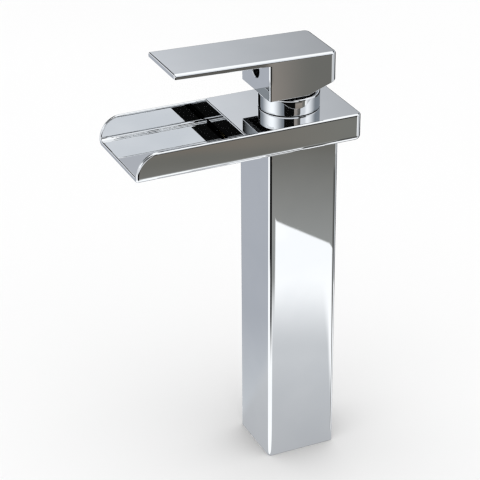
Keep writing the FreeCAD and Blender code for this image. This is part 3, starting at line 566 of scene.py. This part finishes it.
def make_spout():
    hx, yf, yb = 35.8, -127.9, 39.2
    z0, z1, floor = 250.7, 271.0, 254.5
    ix, yd = 33.0, -48.9
    nose, rl, rr, eo, ei, rc = 16.0, 4.2, 4.4, 1.5, 1.0, 2.6
    cy, cz = yf + nose, z1 - nose  # centre of the nose
    skin = Skin()
    # the ribbon between the outer and the inner border: along the lip, up the nose, along the wall's top
    chain = []  # (outer x, outer z, outer normal, inner x, inner z, inner normal, alpha or None, y)
    for t in spread(0.0, 1.0, 0.2)[:-1]:
        chain.append(((hx - rl) * t, z0, (0, 0, -1), (ix - rc) * t, floor, (0, 0, 1), None))
    # the corner: the outer border takes its rounding first, then the short upright above it
    angles = sweep(10)
    rise = floor + rc - (z0 + rl)
    out_len = rl * RIGHT + rise
    travel = [rl * b for b in angles] + [rl * RIGHT + rise * k / 6 for k in range(1, 7)]
    arc_angle = [RIGHT * s / out_len for s in travel]
    for j, (s, a) in enumerate(zip(travel, arc_angle)):
        inner = (ix - rc + rc * math.sin(a), floor + rc - rc * math.cos(a), (-math.sin(a), 0, math.cos(a)))
        if j < len(angles):
            b = angles[j]
            outer = (hx - rl + rl * math.sin(b), z0 + rl - rl * math.cos(b), (math.sin(b), 0, -math.cos(b)))
        else:
            outer = (hx, z0 + rl + s - rl * RIGHT, (1, 0, 0))
        chain.append((outer[0], outer[1], outer[2], inner[0], inner[1], inner[2], None))
    start = math.asin((floor + rc - cz) / nose)
    for a in sweep(26, start, RIGHT)[1:]:
        z = cz + nose * math.sin(a)
        chain.append((hx, z, (1, 0, 0), ix, z, (-1, 0, 0), a))

    def cap(x, z):
        """Point and normal of the cap surface: the lip's front, the nose, at height z."""
        if z <= cz:
            return (x, yf, z), (0.0, -1.0, 0.0)
        a = math.asin(min(1.0, (z - cz) / nose))
        return (x, cy - nose * math.cos(a), z), (0.0, -math.cos(a), math.sin(a))

    def ribbon_row(o, no, i, ni, ng_o, ng_i, mitre=False):
        row = []
        for a in sweep(6):
            row.append(tuple(o[k] - eo * (no[k] + ng_o[k]) + eo * (no[k] * math.cos(a) + ng_o[k] * math.sin(a)) for k in range(3)))
        back = []
        for a in sweep(6):
            p = [i[k] - ei * (ni[k] + ng_i[k]) + ei * (ni[k] * math.cos(a) + ng_i[k] * math.sin(a)) for k in range(3)]
            if mitre:
                p[1] = yd + ei * (1 - math.cos(a))
            back.append(tuple(p))
        # two points in between on the flat
        for t in (1 / 3, 2 / 3):
            a, b = row[6], back[6]
            row.append(tuple(a[k] + (b[k] - a[k]) * t for k in range(3)))
        return row + back[::-1]

    rows = []
    for ox, oz, no, xi, zi, ni, a in chain:
        o, ng_o = cap(ox, oz)
        i, ng_i = cap(xi, zi)
        row = ribbon_row(o, no, i, ni, ng_o, ng_i)
        # the two middle points sit on the cap surface
        if a is None:
            for k in (7, 8):
                x, _, z = row[k]
                row[k] = cap(x, z)[0]
        rows.append(row)
    ys = spread(cy, yd, 6.3)
    up = (0.0, 0.0, 1.0)
    for y in ys[1:]:
        rows.append(
            ribbon_row((hx, y, z1), (1, 0, 0), (ix, y, z1), (-1, 0, 0), up, up, mitre=(y == ys[-1]))
        )
    skin.grid(rows)
    outer_edge = [r[0] for r in rows]
    inner_edge = [r[-1] for r in rows]
    n_lip = 5  # rows on the lip's straight part
    corner_end = n_lip + len(travel) - 1  # index of the last corner row

    # lower rounding of the side, then round the rear corner to the middle of the rear face
    sy = spread(yf + eo, yb - rr, 6.5)
    grid = []
    for y in sy:
        grid.append([(hx - rl + rl * math.sin(b), y, z0 + rl - rl * math.cos(b)) for b in angles])
    skin.grid(grid)
    # rear corner
    ccx, ccy = hx - rr, yb - rr
    turn = sweep(12)
    grid = []
    for t in turn:
        grid.append(
            [
                (ccx + (rr - rl + rl * math.sin(b)) * math.cos(t), ccy + (rr - rl + rl * math.sin(b)) * math.sin(t), z0 + rl - rl * math.cos(b))
                for b in angles
            ]
        )
    skin.grid(grid)
    # rear face's lower rounding
    xs_rear = spread(ccx, 0.0, 6.6)
    skin.grid([[(x, yb - rl + rl * math.sin(b), z0 + rl - rl * math.cos(b)) for b in angles] for x in xs_rear])
    # upright part of the rear corner, rear face
    zc = [z0 + rl, z1 - eo]
    skin.grid([[(ccx + rr * math.cos(t), ccy + rr * math.sin(t), z) for z in zc] for t in turn])
    skin.grid([[(x, yb, z) for z in zc] for x in xs_rear])
    # upper rounding: deck side, rear corner, rear face
    deck_y = spread(yd, yb - rr, 6.5)
    side_up = [[(hx - eo + eo * math.cos(a), y, z1 - eo + eo * math.sin(a)) for a in sweep(6)] for y in deck_y]
    skin.grid(side_up)
    skin.grid([[(ccx + (rr - eo + eo * math.cos(a)) * math.cos(t), ccy + (rr - eo + eo * math.cos(a)) * math.sin(t), z1 - eo + eo * math.sin(a)) for a in sweep(6)] for t in turn])
    skin.grid([[(x, yb - eo + eo * math.cos(a), z1 - eo + eo * math.sin(a)) for a in sweep(6)] for x in xs_rear])
    # side face
    first = next(j for j, p in enumerate(outer_edge) if p[2] > z0 + rl + 1e-6)
    loop = [(hx, y, z0 + rl) for y in sy]
    loop += [(hx, y, z1 - eo) for y in reversed(deck_y)]
    loop += [p for p in reversed(outer_edge[first:])]
    skin.flat(loop, 0)
    # underside
    loop = [(0.0, yf + eo, z0)] + [p for p in outer_edge[1:n_lip]] + [(hx - rl, y, z0) for y in sy]
    loop += [(ccx + (rr - rl) * math.cos(t), ccy + (rr - rl) * math.sin(t), z0) for t in turn[1:]]
    loop += [(x, yb - rl, z0) for x in xs_rear[1:]]
    skin.flat(loop, 2)
    # deck
    loop = [(0.0, yd + ei, z1)]
    dx = spread(0.0, ix + ei, 6.8)
    loop += [(x, yd + ei, z1) for x in dx[1:]]
    last = rows[-1]
    loop += [last[8], last[7], last[6]]
    loop += [(hx - eo, y, z1) for y in deck_y[1:]]
    loop += [(ccx + (rr - eo) * math.cos(t), ccy + (rr - eo) * math.sin(t), z1) for t in turn[1:]]
    loop += [(x, yb - eo, z1) for x in xs_rear[1:]]
    skin.flat(loop, 2)
    # rounding of the deck's front edge, mitred into the wall's
    grid = []
    for j, x in enumerate(dx):
        row = []
        for a in sweep(6):
            p = [x, yd + ei * (1 - math.cos(a)), z1 - ei + ei * math.sin(a)]
            if j == len(dx) - 1:
                p[0] = ix + ei * (1 - math.cos(a))
            row.append(tuple(p))
        grid.append(row)
    skin.grid(grid)
    # trough: back wall, floor, floor corner, side wall
    bx = [x for x in dx[:-1]] + [ix]
    arc = [p for p in inner_edge[n_lip:corner_end + 1]]
    floor_y = spread(yd, yf + ei, 6.6)
    loop = [(x, yd, z1 - ei) for x in bx]
    loop += [(ix - rc + rc * math.sin(a), yd, floor + rc - rc * math.cos(a)) for a in reversed(arc_angle)]
    loop += [(0.0, yd, floor)]
    skin.flat(loop, 1)
    loop = [(0.0, yd, floor)] + [(ix - rc, y, floor) for y in floor_y] + [p for p in reversed(inner_edge[:n_lip])]
    skin.flat(loop, 2)
    grid = [[(ix - rc + rc * math.sin(a), y, floor + rc - rc * math.cos(a)) for a in arc_angle] for y in floor_y[:-1]]
    grid.append(arc)
    skin.grid(grid)
    loop = [(ix, y, floor + rc) for y in floor_y[:-1]]
    loop += [p for p in inner_edge[corner_end:]]
    skin.flat(loop, 0)
    return skin.mirrored().build("spout")


spout_raw = make_spout()
chamber = prism(
    "chamber_cut",
    [(-31, -46), (31, -46), (31, -24), (8, -24), (8, -14), (-8, -14), (-8, -24), (-31, -24)],
    254.5,
    268.0,
)
water_slot = block("slot_cut", (-31, -52.0, 254.5), (31, -44.0, 257.5))
valve_hole = prism(
    "valve_cut",
    [(19.25 * math.cos(2 * math.pi * (k + 0.5) / 96), 19.25 * math.sin(2 * math.pi * (k + 0.5) / 96)) for k in range(96)],
    245.0,
    280.0,
)
rods = [
    prism(
        "rod_cut",
        [(sx * 17.4 + 2.02 * math.cos(2 * math.pi * k / 24), sx * 19.0 + 2.02 * math.sin(2 * math.pi * k / 24)) for k in range(24)],
        245.0,
        258.7,
    )
    for sx in (-1, 1)
]
spout = crisp(cut(spout_raw, [chamber, water_slot, valve_hole] + rods), flat_area=6.0)
place(spout, chrome, "body", "polished_chrome", "spout_body")


# ------------------------------------------------------------------ lever handle


def make_handle():
    hx, yt, yb = 23.3, -94.7, 25.6
    ht, hb = 318.297, 314.697
    bf, bu, rs, rb, root, tip = -25.4, 286.1, 3.7, 293.9, 312.0, 3.7
    r2, rr, rt, rf, e = 2.2, 4.6, 1.2, 1.6, 0.35
    slope = (ht - hb) / (yt - yb)

    def top(y):
        return hb + (y - yb) * slope

    def under(y):
        return root + (y - bf) * (ht - tip - root) / (yt - bf)

    def bottom(y):
        return bu if y <= rs else bu + (y - rs) * (rb - bu) / (yb - rs)

    skin = Skin()
    side_y = spread(yt + rt, bf, 6.2)
    block_y = [bf + rf] + spread(bf + rf, rs, 5.0)[1:-1] + [rs] + spread(rs, yb - rr, 5.0)[1:]

    def outline(d):
        """Half of the plan outline, d inside the true one, from behind the tip's rounding to the rear's middle."""
        pts = [(hx - d, y) for y in side_y]
        pts += [(hx - d, y) for y in block_y]
        for a in sweep(12)[1:]:
            pts.append((hx - rr + (rr - d) * math.cos(a), yb - rr + (rr - d) * math.sin(a)))
        pts += [(x, yb - d) for x in reversed(spread(0.0, hx - rr, 5.0)[:-1])]
        return pts

    n_plate = len(side_y)  # index just past the point at the block's front
    # top rounding
    rows = []
    for a in sweep(10):
        d = r2 * (1 - math.cos(a))
        rows.append([(x, y, top(y) - r2 + r2 * math.sin(a)) for x, y in outline(d)])
    skin.grid(rows)
    # top face
    top_x = spread(0.0, hx - r2, 5.2)
    skin.flat([(x, yt + rt, top(yt + rt)) for x in top_x[:-1]] + rows[-1], 2)
    # the tip: cross-sections of the plate that shrink through a rounding into the tip face
    under_x = spread(0.0, hx - e, 5.2)

    def section(b):
        s = rt - rt * math.cos(b)
        d, lift = rt - rt * math.sin(b), max(0.0, 0.3 - s)
        y = yt + s
        zt, zb = top(y), under(y) + lift
        row = [(x, y, zt - d) for x in top_x[:-1]]
        row += [(hx - r2 + (r2 - d) * math.cos(a), y, zt - r2 + (r2 - d) * math.sin(a)) for a in reversed(sweep(10))]
        row += [(hx - d - e + e * math.cos(a), y, zb + e - e * math.sin(a)) for a in sweep(4)]
        scale = (hx - d - e) / (hx - e)
        row += [(x * scale, y, zb) for x in reversed(under_x[:-1])]
        return row

    tip_rows = [section(b) for b in sweep(9)]
    skin.grid(tip_rows)
    skin.flat(tip_rows[0], 1)
    # side of the plate, down to the rounding of its lower edge, which dies out at the block
    side = [rows[0][:n_plate]]

    def low(y):
        return max(0.0, min(1.0, (bf - y) / 6.0)) * e

    for a in sweep(4):
        side.append([(hx - low(y) * (1 - math.cos(a)), y, under(y) + low(y) - low(y) * math.sin(a)) for y in side_y])
    skin.grid(side)
    # underside of the plate
    arc = [(hx - rf + rf * math.cos(a), bf + rf - rf * math.sin(a)) for a in sweep(6)]
    front_x = spread(hx - rf, 0.0, 5.6)
    loop = [(x, yt + rt, under(yt + rt)) for x in under_x[:-1]] + side[-1] + [(x, bf, root) for x in front_x]
    skin.flat(loop, 2)
    # ledge over the block's rounded front edge
    corner = (hx, bf, root)
    for p, q in zip(arc[:-1], arc[1:]):
        skin.face([corner, (p[0], p[1], root), (q[0], q[1], root)])
    # upper band of the block: from the top rounding down to the level of the plate's underside
    band_top = rows[0][n_plate - 1:]
    skin.grid([band_top, [(x, y, root) for x, y, z in band_top]])
    # block below that level, all the way round
    plan = [(x, bf) for x in reversed(front_x)] + [(x, y) for x, y in reversed(arc)][1:]
    plan += [(x, y) for x, y in outline(0.0)[n_plate + 1:]]

    def inward(k):
        x, y = plan[k]
        if k < len(front_x):
            return 0.0, 1.0
        if y < bf + rf - 1e-9:
            cx, cy = hx - rf, bf + rf
        elif y > yb - rr + 1e-9:
            if x <= hx - rr + 1e-9:
                return 0.0, -1.0
            cx, cy = hx - rr, yb - rr
        else:
            return -1.0, 0.0
        length = math.hypot(cx - x, cy - y) or 1.0
        return (cx - x) / length, (cy - y) / length

    rows2 = [[(x, y, root) for x, y in plan]]
    for a in sweep(4):
        row = []
        for k, (x, y) in enumerate(plan):
            nx, ny = inward(k)
            d = e * (1 - math.cos(a))
            px, py = x + nx * d, y + ny * d
            row.append((px, py, bottom(y) + (bottom(py) - bottom(y)) + e - e * math.sin(a)))
        rows2.append(row)
    skin.grid(rows2)
    # underside of the block, in two planes
    ring = rows2[-1]
    fold = next(k for k, p in enumerate(ring) if abs(p[1] - rs) < 1e-6 and p[0] > 20)
    mid = spread(ring[fold][0], 0.0, 5.6)
    fold_line = [(x, rs, bu) for x in mid]
    skin.flat([p for p in ring[:fold + 1]] + fold_line[1:], 2)
    skin.flat(fold_line[::-1] + [p for p in ring[fold + 1:]], 2)
    return skin.mirrored().build("lever_plate_and_block")


handle_raw = make_handle()
hollow = prism(
    "hollow_cut",
    [(-20, -22), (-7.4, -22), (-7.4, 7.4), (7.4, 7.4), (7.4, -22), (20, -22), (20, 22.4), (-20, 22.4)],
    280.0,
    310.4,
)
boss_relief = block("relief_cut", (-7.9, -22.0, 280.0), (7.9, 7.9, 290.0))
stem_socket = block("socket_cut", (-4.03, -4.03, 285.0), (4.03, 4.03, 308.4))
screw_hole = bore(
    "screw_hole_cut",
    0,
    0,
    302.0,
    [(-27.0, 8.0), (-25.4, 6.4), (-25.25, 6.22), (-25.0, 6.06), (-24.8, 6.0), (-23.9, 6.0), (-20.4, 6.0), (-20.4, 4.02), (-3.5, 4.02)],
)
handle = crisp(cut(handle_raw, [hollow, boss_relief, stem_socket, screw_hole]), flat_area=4.0)
place(handle, chrome, "lever", "polished_chrome", "lever_handle")
# the hollow, the bore and the block's flat underside get a near-black dull metal: painted shade in these recesses and
# under the block; plating hardly reaches into the hollow and the bore, which stay dull, as cast and drilled
handle.data.materials.append(painted_shade_cast)
handle.data.materials.append(pale_cast)
for f in handle.data.polygons:
    x, y, z = (c / MM for c in f.center)
    in_hollow = abs(x) < 20.05 and -22.05 < y < 22.45 and 286.3 < z < 310.5
    in_bore = y > -23.95 and y < 0 and math.hypot(x, z - 302.0) < 6.05
    below = f.normal.z < -0.9 and z < 294.2
    if in_hollow or in_bore or below:
        f.material_index = 1
    if below and f.normal.y > 0.2:
        f.material_index = 2  # the relief under the rear is left as it was cast


# ------------------------------------------------------------------ set screw


def make_screw():
    """A grub screw along Y with a hexagonal socket and a chamfered point."""
    r, z, y_front, y_back = 4.0, 302.0, -20.0, -4.01
    sides = 72

    def circle(rad, y):
        return [(rad * math.cos(2 * math.pi * k / sides), y, z + rad * math.sin(2 * math.pi * k / sides)) for k in range(sides)]

    def hexagon(apothem, y):
        pts = []
        for k in range(sides):
            a = 2 * math.pi * k / sides
            f = (a + math.pi / 6) % (math.pi / 3) - math.pi / 6
            # corners on the X axis, flats above and below
            rad = apothem / math.cos((a % (math.pi / 3)) - math.pi / 6)
            pts.append((rad * math.cos(a), y, z + rad * math.sin(a)))
        return pts

    rows = [circle(r - 0.45, y_back), circle(r, y_back - 0.45)]
    turns = int((y_back - 0.9 - (y_front + 0.9)) / 0.5)
    for k in range(turns + 1):
        y = y_back - 0.7 - (y_back - 0.7 - (y_front + 0.7)) * k / turns
        rows.append(circle(r - (0.28 if k % 2 else 0.0), y))
    rows += [circle(r, y_front + 0.4), circle(r - 0.4, y_front)]
    rows += [hexagon(2.25, y_front), hexagon(2.0, y_front + 0.3), hexagon(2.0, y_front + 4.0)]
    skin = Skin()
    skin.grid(rows, around=True)
    skin.face(rows[0])
    skin.face(rows[-1])
    return skin.build("set_screw")


screw = crisp(make_screw(), flat_area=1.0)
place(screw, black_steel, "lever", "dark_steel", "handle_set_screw")


# ------------------------------------------------------------------ floor, light, surroundings

CARDS = []


def card(obj):
    """Seen in reflections only, as the flags and sheets of a studio are."""
    obj.visible_camera = False
    obj.visible_diffuse = False
    obj.visible_shadow = False
    obj.visible_transmission = False
    obj.visible_volume_scatter = False
    obj.visible_glossy = True
    CARDS.append(obj)
    return obj


def sheet_mesh(name, pts):
    me = bpy.data.meshes.new(name)
    me.from_pydata(pts, [], [list(range(len(pts)))])
    obj = bpy.data.objects.new(name, me)
    scene.collection.objects.link(obj)
    return obj


floor = sheet_mesh("floor", [(-9, -9, 0), (9, -9, 0), (9, 9, 0), (-9, 9, 0)])
floor.visible_glossy = False
m, g, shader, coords = new_material("pale_floor")
g.put(shader.inputs["Base Color"], g.mix((0.905, 0.905, 0.905), (0.92, 0.92, 0.92), g.noise(coords, 3.0, 2.0)))
shader.inputs["Roughness"].default_value = 0.9
shader.inputs["Specular IOR Level"].default_value = 0.0
floor.data.materials.append(m)

# A painted reflection, on a glowing card, of what the polished faces see below them: the pale table top with painted
# shade near the foot and on its shaded side, its far edge, darker ground beyond.
ground = card(sheet_mesh("painted_ground_reflection", [(-1.3, -1.3, 0.0002), (1.3, -1.3, 0.0002), (1.3, 1.3, 0.0002), (-1.3, 1.3, 0.0002)]))
m = bpy.data.materials.new("painted_ground_reflection")
m.use_nodes = True
m.node_tree.nodes.clear()
g = Graph(m.node_tree)
coords = g.node("ShaderNodeTexCoord").outputs["Object"]
sep = g.node("ShaderNodeSeparateXYZ")
g.put(sep.inputs[0], coords)
gx, gy = sep.outputs[0], sep.outputs[1]
radius = g.math("SQRT", g.math("ADD", g.math("MULTIPLY", gx, gx), g.math("MULTIPLY", gy, gy)))
azimuth = g.math("MULTIPLY", g.math("ARCTAN2", gx, g.math("MULTIPLY", gy, -1.0)), 57.29578)


def around(az, centre):
    return g.math("WRAP", g.math("SUBTRACT", az, centre), 180.0, -180.0)


WHITE = (1.21, 1.225, 1.24)
BLACK = (0.005, 0.005, 0.005)
DARK = (0.035, 0.036, 0.038)


def inv(x):
    return g.math("SUBTRACT", 1.0, x)


def both(*x):
    out = x[0]
    for y in x[1:]:
        out = g.math("MULTIPLY", out, y)
    return out


# the pale sheet the object stands on: grey near the foot, where the object shades it, white further out
sheet = g.mix((0.53, 0.545, 0.57), (0.68, 0.70, 0.725), g.step(radius, 0.02, 0.15, False))
colour = g.mix(sheet, WHITE, g.step(radius, 0.165, 0.29))
# its lit side, in front of the column's near edge
from_edge = g.math("MULTIPLY", g.math("ARCTAN2", g.math("SUBTRACT", gx, 0.025), g.math("SUBTRACT", -0.0265, gy)), 57.29578)
colour = g.mix(colour, WHITE, both(g.step(from_edge, -58.0, -50.0), inv(g.step(from_edge, 88.0, 104.0))))
# and beside the strip that the column's side face reflects
strip = g.math("SUBTRACT", gy, g.math("MULTIPLY", g.math("SUBTRACT", gx, 0.025), 0.4452))
off_strip = g.step(g.math("ABSOLUTE", strip), 0.029, 0.036)
colour = g.mix(colour, WHITE, both(off_strip, g.step(gx, 0.024, 0.034)))
# its shaded side, at the left front
shaded = g.mix((0.63, 0.66, 0.695), (0.475, 0.50, 0.55), g.step(radius, 0.04, 0.22))
colour = g.mix(colour, shaded, g.band(around(azimuth, -67.0), -19.0, 19.0, 4.0))
# its far edge runs straight across at the right rear
line = g.math("ADD", g.math("MULTIPLY", gx, 0.3887), g.math("MULTIPLY", gy, 0.9214))
beyond = g.step(line, 0.2745, 0.2785)
rear = g.mix((0.60, 0.62, 0.645), (0.70, 0.72, 0.745), g.step(azimuth, 135.0, 178.0))
colour = g.mix(colour, rear, both(beyond, g.step(azimuth, 124.0, 140.0)))
# darker ground beyond that edge, seen by the upright faces
dark_ground = g.mix((0.345, 0.352, 0.342), (0.205, 0.203, 0.188), g.step(radius, 0.37, 0.53, False))
dark_ground = g.mix(dark_ground, (0.178, 0.175, 0.158), g.step(radius, 0.53, 0.565))
spout_side = g.mix((0.216, 0.188, 0.158), (0.212, 0.214, 0.196), g.step(azimuth, 104.0, 120.0, False))
dark_ground = g.mix(dark_ground, spout_side, g.step(radius, 0.565, 0.60))
block_side = g.mix((0.325, 0.292, 0.262), (0.176, 0.174, 0.160), g.step(azimuth, 111.6, 116.6))
dark_ground = g.mix(dark_ground, block_side, g.step(radius, 0.645, 0.67))
limit = g.math("ADD", 134.0, g.math("MULTIPLY", g.step(radius, 0.5, 0.62), -9.0))
sector = both(g.step(azimuth, 84.0, 86.0), inv(g.step(g.math("SUBTRACT", azimuth, limit), -2.0, 2.0)))
near_edge = both(inv(g.step(from_edge, 115.0, 115.9)), g.step(radius, 0.20, 0.30))
dark_ground = g.mix(dark_ground, (0.125, 0.120, 0.110), both(inv(g.step(azimuth, 112.2, 113.2)), g.step(radius, 0.72, 0.74)))
colour = g.mix(colour, dark_ground, both(sector, g.math("MAXIMUM", beyond, near_edge)))
# a dark post behind the sheet, in line with the column's right edge
past_edge = g.math("MULTIPLY", g.math("ARCTAN2", g.math("SUBTRACT", gx, 0.025), g.math("SUBTRACT", 0.0265, gy)), 57.29578)
post = both(g.step(past_edge, 118.1, 118.9), inv(g.step(past_edge, 138.0, 141.0)), inv(g.step(radius, 0.50, 0.53)), g.step(radius, 0.04, 0.06))
colour = g.mix(colour, (0.11, 0.11, 0.105), post)
# the dark side of the studio, at the right front
sector = both(g.step(azimuth, 16.0, 24.0), inv(g.step(azimuth, 86.0, 89.0)))
colour = g.mix(colour, BLACK, both(sector, g.step(radius, 0.30, 0.36)))
sector = both(g.step(azimuth, 30.0, 40.0), inv(g.step(azimuth, 83.0, 86.0)))
colour = g.mix(colour, BLACK, both(sector, g.step(radius, 0.15, 0.25)))
# and the dark wall foot at the left rear
sector = g.band(around(azimuth, -136.5), -51.5, 51.5, 3.0)
behind = both(inv(g.step(radius, 0.20, 0.26)), g.step(gy, -0.03, 0.0))
foot = g.mix(DARK, (0.50, 0.51, 0.52), behind)
colour = g.mix(colour, foot, both(sector, g.step(radius, 0.03, 0.09)))
emit = g.node("ShaderNodeEmission")
g.put(emit.inputs["Color"], colour)
out = g.node("ShaderNodeOutputMaterial")
g.put(out.inputs["Surface"], emit.outputs[0])
ground.data.materials.append(m)

# The room: even white light for the floor; soft boxes, walls and flags for the polished faces.
world = bpy.data.worlds.new("studio")
scene.world = world
world.use_nodes = True
world.node_tree.nodes.clear()
g = Graph(world.node_tree)
direction = g.node("ShaderNodeTexCoord").outputs["Generated"]
sep = g.node("ShaderNodeSeparateXYZ")
g.put(sep.inputs[0], direction)
wx, wy, wz = sep.outputs
az = g.math("MULTIPLY", g.math("ARCTAN2", wx, g.math("MULTIPLY", wy, -1.0)), 57.29578)
el = g.math("MULTIPLY", g.math("ARCSINE", wz), 57.29578)
room = g.mix((0.80, 0.82, 0.85), (0.90, 0.92, 0.95), g.step(el, -5.0, 14.0))
# a belt of walls and soft boxes: one box in front, one at the right rear, unlit walls between them
front = both(g.step(az, -58.0, -2.0), inv(g.step(az, 0.0, 46.0)))
rear_az = around(az, 180.0)
rear = both(g.step(rear_az, -73.6, -72.4), inv(g.step(rear_az, -46.0, 2.0)))
peak = g.mix((0.90, 0.93, 0.97), (1.28, 1.30, 1.33), g.step(rear_az, -58.0, -45.0))
belt = g.mix((0.27, 0.30, 0.335), (1.44, 1.47, 1.50), front)
belt = g.mix(belt, peak, rear)
room = g.mix(room, belt, g.band(el, 16.5, 40.0, 1.0))
room = g.mix(room, (0.30, 0.31, 0.32), both(g.band(around(az, 0.0), -75.0, 86.0, 3.0), g.step(el, 36.0, 40.0)))
overhead = g.math("ADD", 36.0, g.math("MULTIPLY", g.band(around(az, 0.0), -95.0, 100.0, 6.0), 27.0))
room = g.mix(room, WHITE, both(g.step(g.math("SUBTRACT", el, overhead), 0.0, 7.0)))
# unlit gap between the rear wall and the ceiling
room = g.mix(room, (0.06, 0.06, 0.062), both(g.band(around(az, -136.0), -50.0, 11.0, 3.0), g.band(el, 30.5, 43.0, 1.5)))
# grey wall on the left rear, seen by every level face: lighter upwards and to the front
lit = g.math("ADD", 0.70, g.math("ADD", g.math("MULTIPLY", g.math("ADD", az, 112.7), 0.045), g.math("MULTIPLY", g.math("SUBTRACT", el, 20.3), 0.022)))
lit = g.math("MINIMUM", g.math("MAXIMUM", lit, 0.44), 0.98)
wall = g.node("ShaderNodeCombineColor")
g.put(wall.inputs[0], g.math("MULTIPLY", lit, 0.965))
g.put(wall.inputs[1], g.math("MULTIPLY", lit, 1.0))
g.put(wall.inputs[2], g.math("MULTIPLY", lit, 1.05))
sector = both(g.band(around(az, -114.0), -22.0, 30.0, 3.0), g.band(el, 4.0, 29.5, 1.5))
room = g.mix(room, wall.outputs[0], sector)
# a dimmer patch of that wall, and a bright strip above it
room = g.mix(room, (0.50, 0.52, 0.56), both(g.band(around(az, -110.8), -1.9, 1.9, 0.3), g.band(el, 24.35, 30.0, 0.2)))
room = g.mix(room, WHITE, both(g.band(around(az, -108.0), -15.0, 14.0, 1.5), g.band(el, 29.8, 44.0, 0.6)))
# flag on the left front, and the grey wall beside it
sector = g.band(el, 8.0, 50.0, 2.0)
room = g.mix(room, (0.325, 0.35, 0.375), both(g.band(el, 16.5, 36.0, 1.0), g.band(around(az, -63.0), -2.6, 3.0, 0.2)))
room = g.mix(room, BLACK, both(sector, g.band(around(az, -80.0), -16.0, 14.55, 0.12)))
# dark foot of the wall at the left rear
room = g.mix(room, DARK, both(g.band(around(az, -136.5), -51.5, 51.5, 3.0), inv(g.step(el, 5.0, 9.0))))
# ground and furniture far off at the right rear
far_off = g.mix((0.158, 0.150, 0.128), (0.20, 0.20, 0.185), g.step(az, 101.0, 119.0))
room = g.mix(room, far_off, both(g.band(around(az, 112.0), -14.0, 12.0, 3.0), inv(g.step(el, -6.0, -2.0))))
room = g.mix(room, (0.05, 0.05, 0.047), both(g.band(around(az, 114.0), -15.0, 14.0, 2.0), g.band(el, -14.0, 17.5, 1.0)))
# brown panel beside the dark side of the studio
panel = g.mix((0.40, 0.365, 0.335), (0.15, 0.145, 0.14), g.step(az, 91.0, 101.0))
room = g.mix(room, panel, both(g.band(around(az, 95.5), -12.5, 12.0, 0.6), g.band(el, 17.0, 36.0, 1.0)))
# dark side of the studio, at the right front
sector = both(g.step(az, 46.0, 48.0), inv(g.step(az, 83.6, 84.4)))
room = g.mix(room, BLACK, both(sector, g.math("MAXIMUM", g.band(el, 17.0, 72.0, 1.0), inv(g.step(el, -20.0, -17.0)))))
path = g.node("ShaderNodeLightPath")
light = g.node("ShaderNodeBackground")
light.inputs["Color"].default_value = (1.0, 1.0, 1.0, 1.0)
light.inputs["Strength"].default_value = 1.02
mirror = g.node("ShaderNodeBackground")
g.put(mirror.inputs["Color"], room)
mirror.inputs["Strength"].default_value = 1.0
mixer = g.node("ShaderNodeMixShader")
g.put(mixer.inputs[0], path.outputs["Is Glossy Ray"])
g.put(mixer.inputs[1], light.outputs[0])
g.put(mixer.inputs[2], mirror.outputs[0])
out = g.node("ShaderNodeOutputWorld")
g.put(out.inputs["Surface"], mixer.outputs[0])

lamp = bpy.data.lights.new("overhead_softbox", "AREA")
lamp.shape = "RECTANGLE"
lamp.size, lamp.size_y = 1.6, 1.6
lamp.energy = 6.0
lamp_obj = bpy.data.objects.new("overhead_softbox", lamp)
lamp_obj.location = (0.4, -0.3, 2.3)
lamp_obj.rotation_mode = "QUATERNION"
lamp_obj.rotation_quaternion = (Vector((0, 0, 0.1)) - Vector(lamp_obj.location)).to_track_quat("-Z", "Y")
lamp_obj.visible_glossy = False
scene.collection.objects.link(lamp_obj)

# ------------------------------------------------------------------ camera

a, e, roll = math.radians(65.77), math.radians(27.64), math.radians(-0.39)
back = Vector((math.sin(a) * math.cos(e), -math.cos(a) * math.cos(e), math.sin(e)))
right0 = Vector((math.cos(a), math.sin(a), 0.0))
up0 = back.cross(right0)
c, s = math.cos(roll), math.sin(roll)
right = right0 * c + up0 * s
up = up0 * c - right0 * s
data = bpy.data.cameras.new("camera")
data.sensor_width = 36.0
data.lens = 137.877
data.clip_start, data.clip_end = 0.05, 40.0
camera = bpy.data.objects.new("camera", data)
scene.collection.objects.link(camera)
turned_to = Matrix((right, up, back)).transposed()
camera.matrix_world = Matrix.Translation((1.05749, -0.51383, 0.78036)) @ turned_to.to_4x4()
scene.camera = camera

scene.view_settings.view_transform = "Standard"
scene.view_settings.look = "None"
scene.cycles.glossy_bounces = 8
scene.cycles.caustics_reflective = False
scene.cycles.caustics_refractive = False
scene.cycles.filter_width = 1.35

# ------------------------------------------------------------------ final update

bpy.context.view_layer.update()
